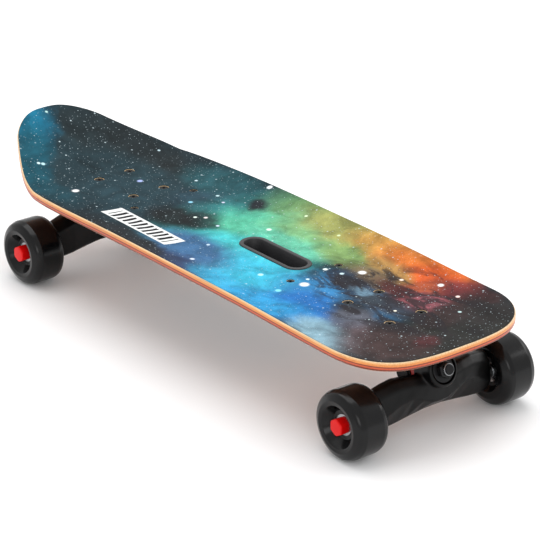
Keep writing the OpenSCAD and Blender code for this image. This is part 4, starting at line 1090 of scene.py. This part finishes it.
cap = {"height": 10.5, "acrossFlats": 16.4, "round": 8.9, "edge": 1.6}


# moulded hexagon cap with its corners turned off and a soft end
def capMesh(place):
    bm = bmesh.new()
    count = 96
    rows = [(1.0, 0.0), (1.0, cap["height"] - cap["edge"])]
    for k in range(1, 7):
        a = math.pi / 2 * k / 6
        rows.append((1 - (1 - math.cos(a)) * cap["edge"] / 8.5,
                     cap["height"] - cap["edge"] * (1 - math.sin(a))))
    rings = []
    for scale, h in rows:
        ring = []
        for k in range(count):
            a = 2 * math.pi * k / count
            flat = cap["acrossFlats"] / 2 / math.cos((a + math.pi / 6) % (math.pi / 3) - math.pi / 6)
            r = min(flat, cap["round"]) * scale / 1000
            ring.append(bm.verts.new((r * math.cos(a), r * math.sin(a), h / 1000)))
        rings.append(ring)
    for one, two in zip(rings, rings[1:]):
        for k in range(count):
            j = (k + 1) % count
            bm.faces.new((one[k], one[j], two[j], two[k]))
    bm.faces.new(rings[0])
    bm.faces.new(rings[-1])
    bmesh.ops.recalc_face_normals(bm, faces=bm.faces)
    bmesh.ops.transform(bm, matrix=place, verts=bm.verts)
    return link("cap", meshFrom(bm, "cap"))


for end, side, x in ((1, "front", frontAxleX), (-1, "rear", rearAxleX)):
    body = side + "_truck_hanger"
    caps = [capMesh(axleMatrix(x, s, 0.1078)) for s in (1, -1)]
    caps[0].name = side + "HubCaps"
    keep(joinInto(caps[0], caps[1:]), body, [side + "_axle_caps"], [capPlastic], 25)
    washers = [lathe("washer", [(4.05, 107.05, 0), (11, 107.05, 0.25), (11, 107.8, 0.25), (4.05, 107.8, 0)],
                     64, axleMatrix(x, s, 0)) for s in (1, -1)]
    inner = (1, -1) if end > 0 else (-1,)
    washers += [lathe("washer", [(4.05, 82.2, 0), (7, 82.2, 0.2), (7, 82.95, 0.2), (4.05, 82.95, 0)], 48,
                      axleMatrix(x, s, 0)) for s in inner]
    washers[0].name = side + "SpeedWashers"
    keep(joinInto(washers[0], washers[1:]), body, [side + "_speed_washers"], [zincSteel])
print("wheels made")


case = {"wall": 0.0025, "corner": 0.014, "draft": 0.011, "edge": 0.004}


# vacuum-formed look: drafted sides, round corners and a soft edge round the floor
def makeCase():
    low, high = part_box("tray")
    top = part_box("tray_gasket")[0].z
    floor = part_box("button_bezel")[1].z
    halfW = (high.y - low.y) / 2
    bm = bmesh.new()

    def outline(inset, drop):
        x0, x1 = low.x + inset, high.x - inset - drop
        w, r = halfW - inset - drop, case["corner"]
        points = []
        for cx, cy, first in ((x1 - r, w - r, 0), (x0 + r, w - r, 90), (x0 + r, -w + r, 180),
                              (x1 - r, -w + r, 270)):
            for k in range(13):
                a = math.radians(first + 90 * k / 12)
                points.append((cx + r * math.cos(a), cy + r * math.sin(a)))
        return points

    depth = top - floor
    levels = [(0.0, 0.0, top), (0.0, case["draft"] * (depth - case["edge"]) / depth, floor + case["edge"])]
    for k in range(1, 7):
        a = math.pi / 2 * k / 6
        levels.append((case["edge"] * (1 - math.cos(a)) * 0.9, case["draft"],
                       floor + case["edge"] * (1 - math.sin(a))))
    wall = case["wall"]
    inner = [(wall + 0.0025, case["draft"], floor + wall), (wall, case["draft"] * 0.9, floor + wall + 0.003),
             (wall, 0.0, top)]
    rings = []
    for inset, drop, z in levels + inner:
        rings.append([bm.verts.new((x, y, z)) for x, y in outline(inset, drop)])
    count = len(rings[0])
    for one, two in zip(rings, rings[1:]):
        for k in range(count):
            j = (k + 1) % count
            bm.faces.new((one[k], one[j], two[j], two[k]))
    for k in range(count):       # the rim under the gasket
        j = (k + 1) % count
        bm.faces.new((rings[-1][k], rings[-1][j], rings[0][j], rings[0][k]))
    bm.faces.new(rings[len(levels) - 1])
    bm.faces.new(rings[len(levels)])
    bmesh.ops.recalc_face_normals(bm, faces=bm.faces)
    body = link("underslungCase", meshFrom(bm, "underslungCase"))
    button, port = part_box("power_button"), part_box("charge_socket")
    z = floor * 1000
    tools = []
    for (near, far), radius, sides in ((button, 8.3, 64), (port, 6.0, 48)):
        tools.append(drill(radius, z - 5, z + 5, 500 * (near.x + far.x), 500 * (near.y + far.y), sides))
    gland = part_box("motor_gland")
    glandZ = (gland[0].z + gland[1].z) / 2
    side = lathe("side", [(0, -6, 0), (6, -6, 0), (6, 6, 0), (0, 6, 0)], 48,
                 Matrix.Translation((low.x, 0, glandZ)) @ Matrix.Rotation(math.pi / 2, 4, "Y"))
    for k in range(7):           # stiffening grooves across the floor
        spot = Matrix.Translation((low.x + 0.045 + 0.026 * k, 0, floor))
        tools.append(lathe("groove", [(0, -30, 0), (0.9, -30, 0), (0.9, 30, 0), (0, 30, 0)], 16,
                           spot @ Matrix.Rotation(math.pi / 2, 4, "X")))
    for tool in tools + [side]:
        cut(body, tool)
    return body


casePiece = makeCase()
hinge = Vector(joints["charge_cap_flip"]["pos_m"])
earShape = [(-2.5, 2.5), (2.5, 2.5), (-2.5, -0.4), (-1.5, -1.7), (1.5, -1.7), (2.5, -0.4)]
ears = [hullOf("ear", [(x, y + j * 4.5, z) for y in (-1, 1) for x, z in earShape],
               Matrix.Translation(hinge) @ Matrix.Scale(0.001, 4)) for j in (-1, 1)]
pin = lathe("pin", [(0, -4.6, 0), (1.0, -4.6, 0), (1.0, 4.6, 0), (0, 4.6, 0)], 24,
            Matrix.Translation(hinge) @ Matrix.Rotation(math.pi / 2, 4, "X"))
joinInto(casePiece, [*ears, pin])
keep(casePiece, "board", ["tray"], [blackAbs], 40)
print("case made")


dressing = {
    "riser": blackRubber, "tray_gasket": blackRubber, "charge_cap": blackRubber, "truck_nuts": zincSteel,
    "kingpins": blackSteel, "hanger_sleeve": whiteNylon, "axle_nuts": zincSteel, "front_axle": zincSteel,
    "rear_axle": zincSteel, "bearings": bearingSteel, "spacer": spacerAlu, "magnets": magnetNickel,
    "motor_cover": anodised, "shaft": zincSteel, "stator": statorSteel, "windings": copperWire,
    "battery_cells": cellWrap, "cell_holders": blackAbs, "bms_board": greenBoard, "esc_board": blueBoard,
    "heatsink": spacerAlu, "leads": leadPvc, "power_button": spacerAlu, "power_switch": blackAbs,
    "button_bezel": greyAbs, "charge_socket": blackAbs, "gland": blackAbs,
}
for nodeName, obj in nodes.items():
    if obj.hide_render:
        continue
    found = [m for part, m in dressing.items() if part in nodeName]
    obj.data.materials.clear()
    obj.data.materials.append(found[-1] if found else castPaint)
print("cad pieces dressed")


stage = {"floor": "#fafafa", "key": 36.0, "fill": 10.0, "rim": 14.0, "sky": 0.88}


def makeFloor():
    bm = bmesh.new()
    corners = [bm.verts.new((x, y, 0)) for x, y in ((-6, -6), (6, -6), (6, 6), (-6, 6))]
    bm.faces.new(corners)
    floor = link("studioFloor", meshFrom(bm, "studioFloor"))
    mat, tree, bsdf, coords = startMaterial("paintedStudioFloor")
    noise = addNode(tree, "ShaderNodeTexNoise", {"Scale": 6.0, "Detail": 3.0}, {"Vector": coords})
    tone = addNode(tree, "ShaderNodeMix", {"data_type": "RGBA"},
                   {0: noise.outputs["Fac"], 6: toLinear(stage["floor"]), 7: toLinear("#f3f3f4")}).outputs[2]
    tree.links.new(tone, bsdf.inputs["Base Color"])
    bsdf.inputs["Roughness"].default_value = 0.7
    floor.data.materials.append(mat)


def softLight(name, place, target, size, power):
    lamp = bpy.data.lights.new(name, "AREA")
    lamp.shape = "RECTANGLE"
    lamp.size, lamp.size_y = size
    lamp.energy = power
    obj = bpy.data.objects.new(name, lamp)
    obj.location = place
    obj.rotation_euler = (Vector(target) - Vector(place)).to_track_quat("-Z", "Y").to_euler()
    bpy.context.scene.collection.objects.link(obj)


makeFloor()
softLight("keyBox", (-0.5, 0.2, 2.4), (0, 0, 0.1), (2.6, 2.2), stage["key"])
softLight("fillBox", (2.2, -1.6, 1.1), (0, 0, 0.1), (1.4, 1.0), stage["fill"])
softLight("rimBox", (0.8, 2.2, 1.3), (0, 0, 0.1), (1.8, 0.9), stage["rim"])
world = bpy.data.worlds.new("paleStudio")
world.use_nodes = True
world.node_tree.nodes["Background"].inputs["Color"].default_value = (1, 1, 1, 1)
world.node_tree.nodes["Background"].inputs["Strength"].default_value = stage["sky"]
bpy.context.scene.world = world
bpy.context.scene.view_settings.view_transform = "Standard"

view = {"place": (2.1221, -1.6644, 1.2451), "azimuth": 51.13, "elevation": 23.62, "lens": 185.23}
cameraData = bpy.data.cameras.new("productCamera")
cameraData.lens = view["lens"]
cameraData.sensor_width = 36
camera = bpy.data.objects.new("productCamera", cameraData)
a, e = math.radians(view["azimuth"]), math.radians(view["elevation"])
forward = Vector((-math.sin(a) * math.cos(e), math.cos(a) * math.cos(e), -math.sin(e)))
camera.location = view["place"]
camera.rotation_euler = forward.to_track_quat("-Z", "Y").to_euler()
bpy.context.scene.collection.objects.link(camera)
bpy.context.scene.camera = camera

print("stage ready")
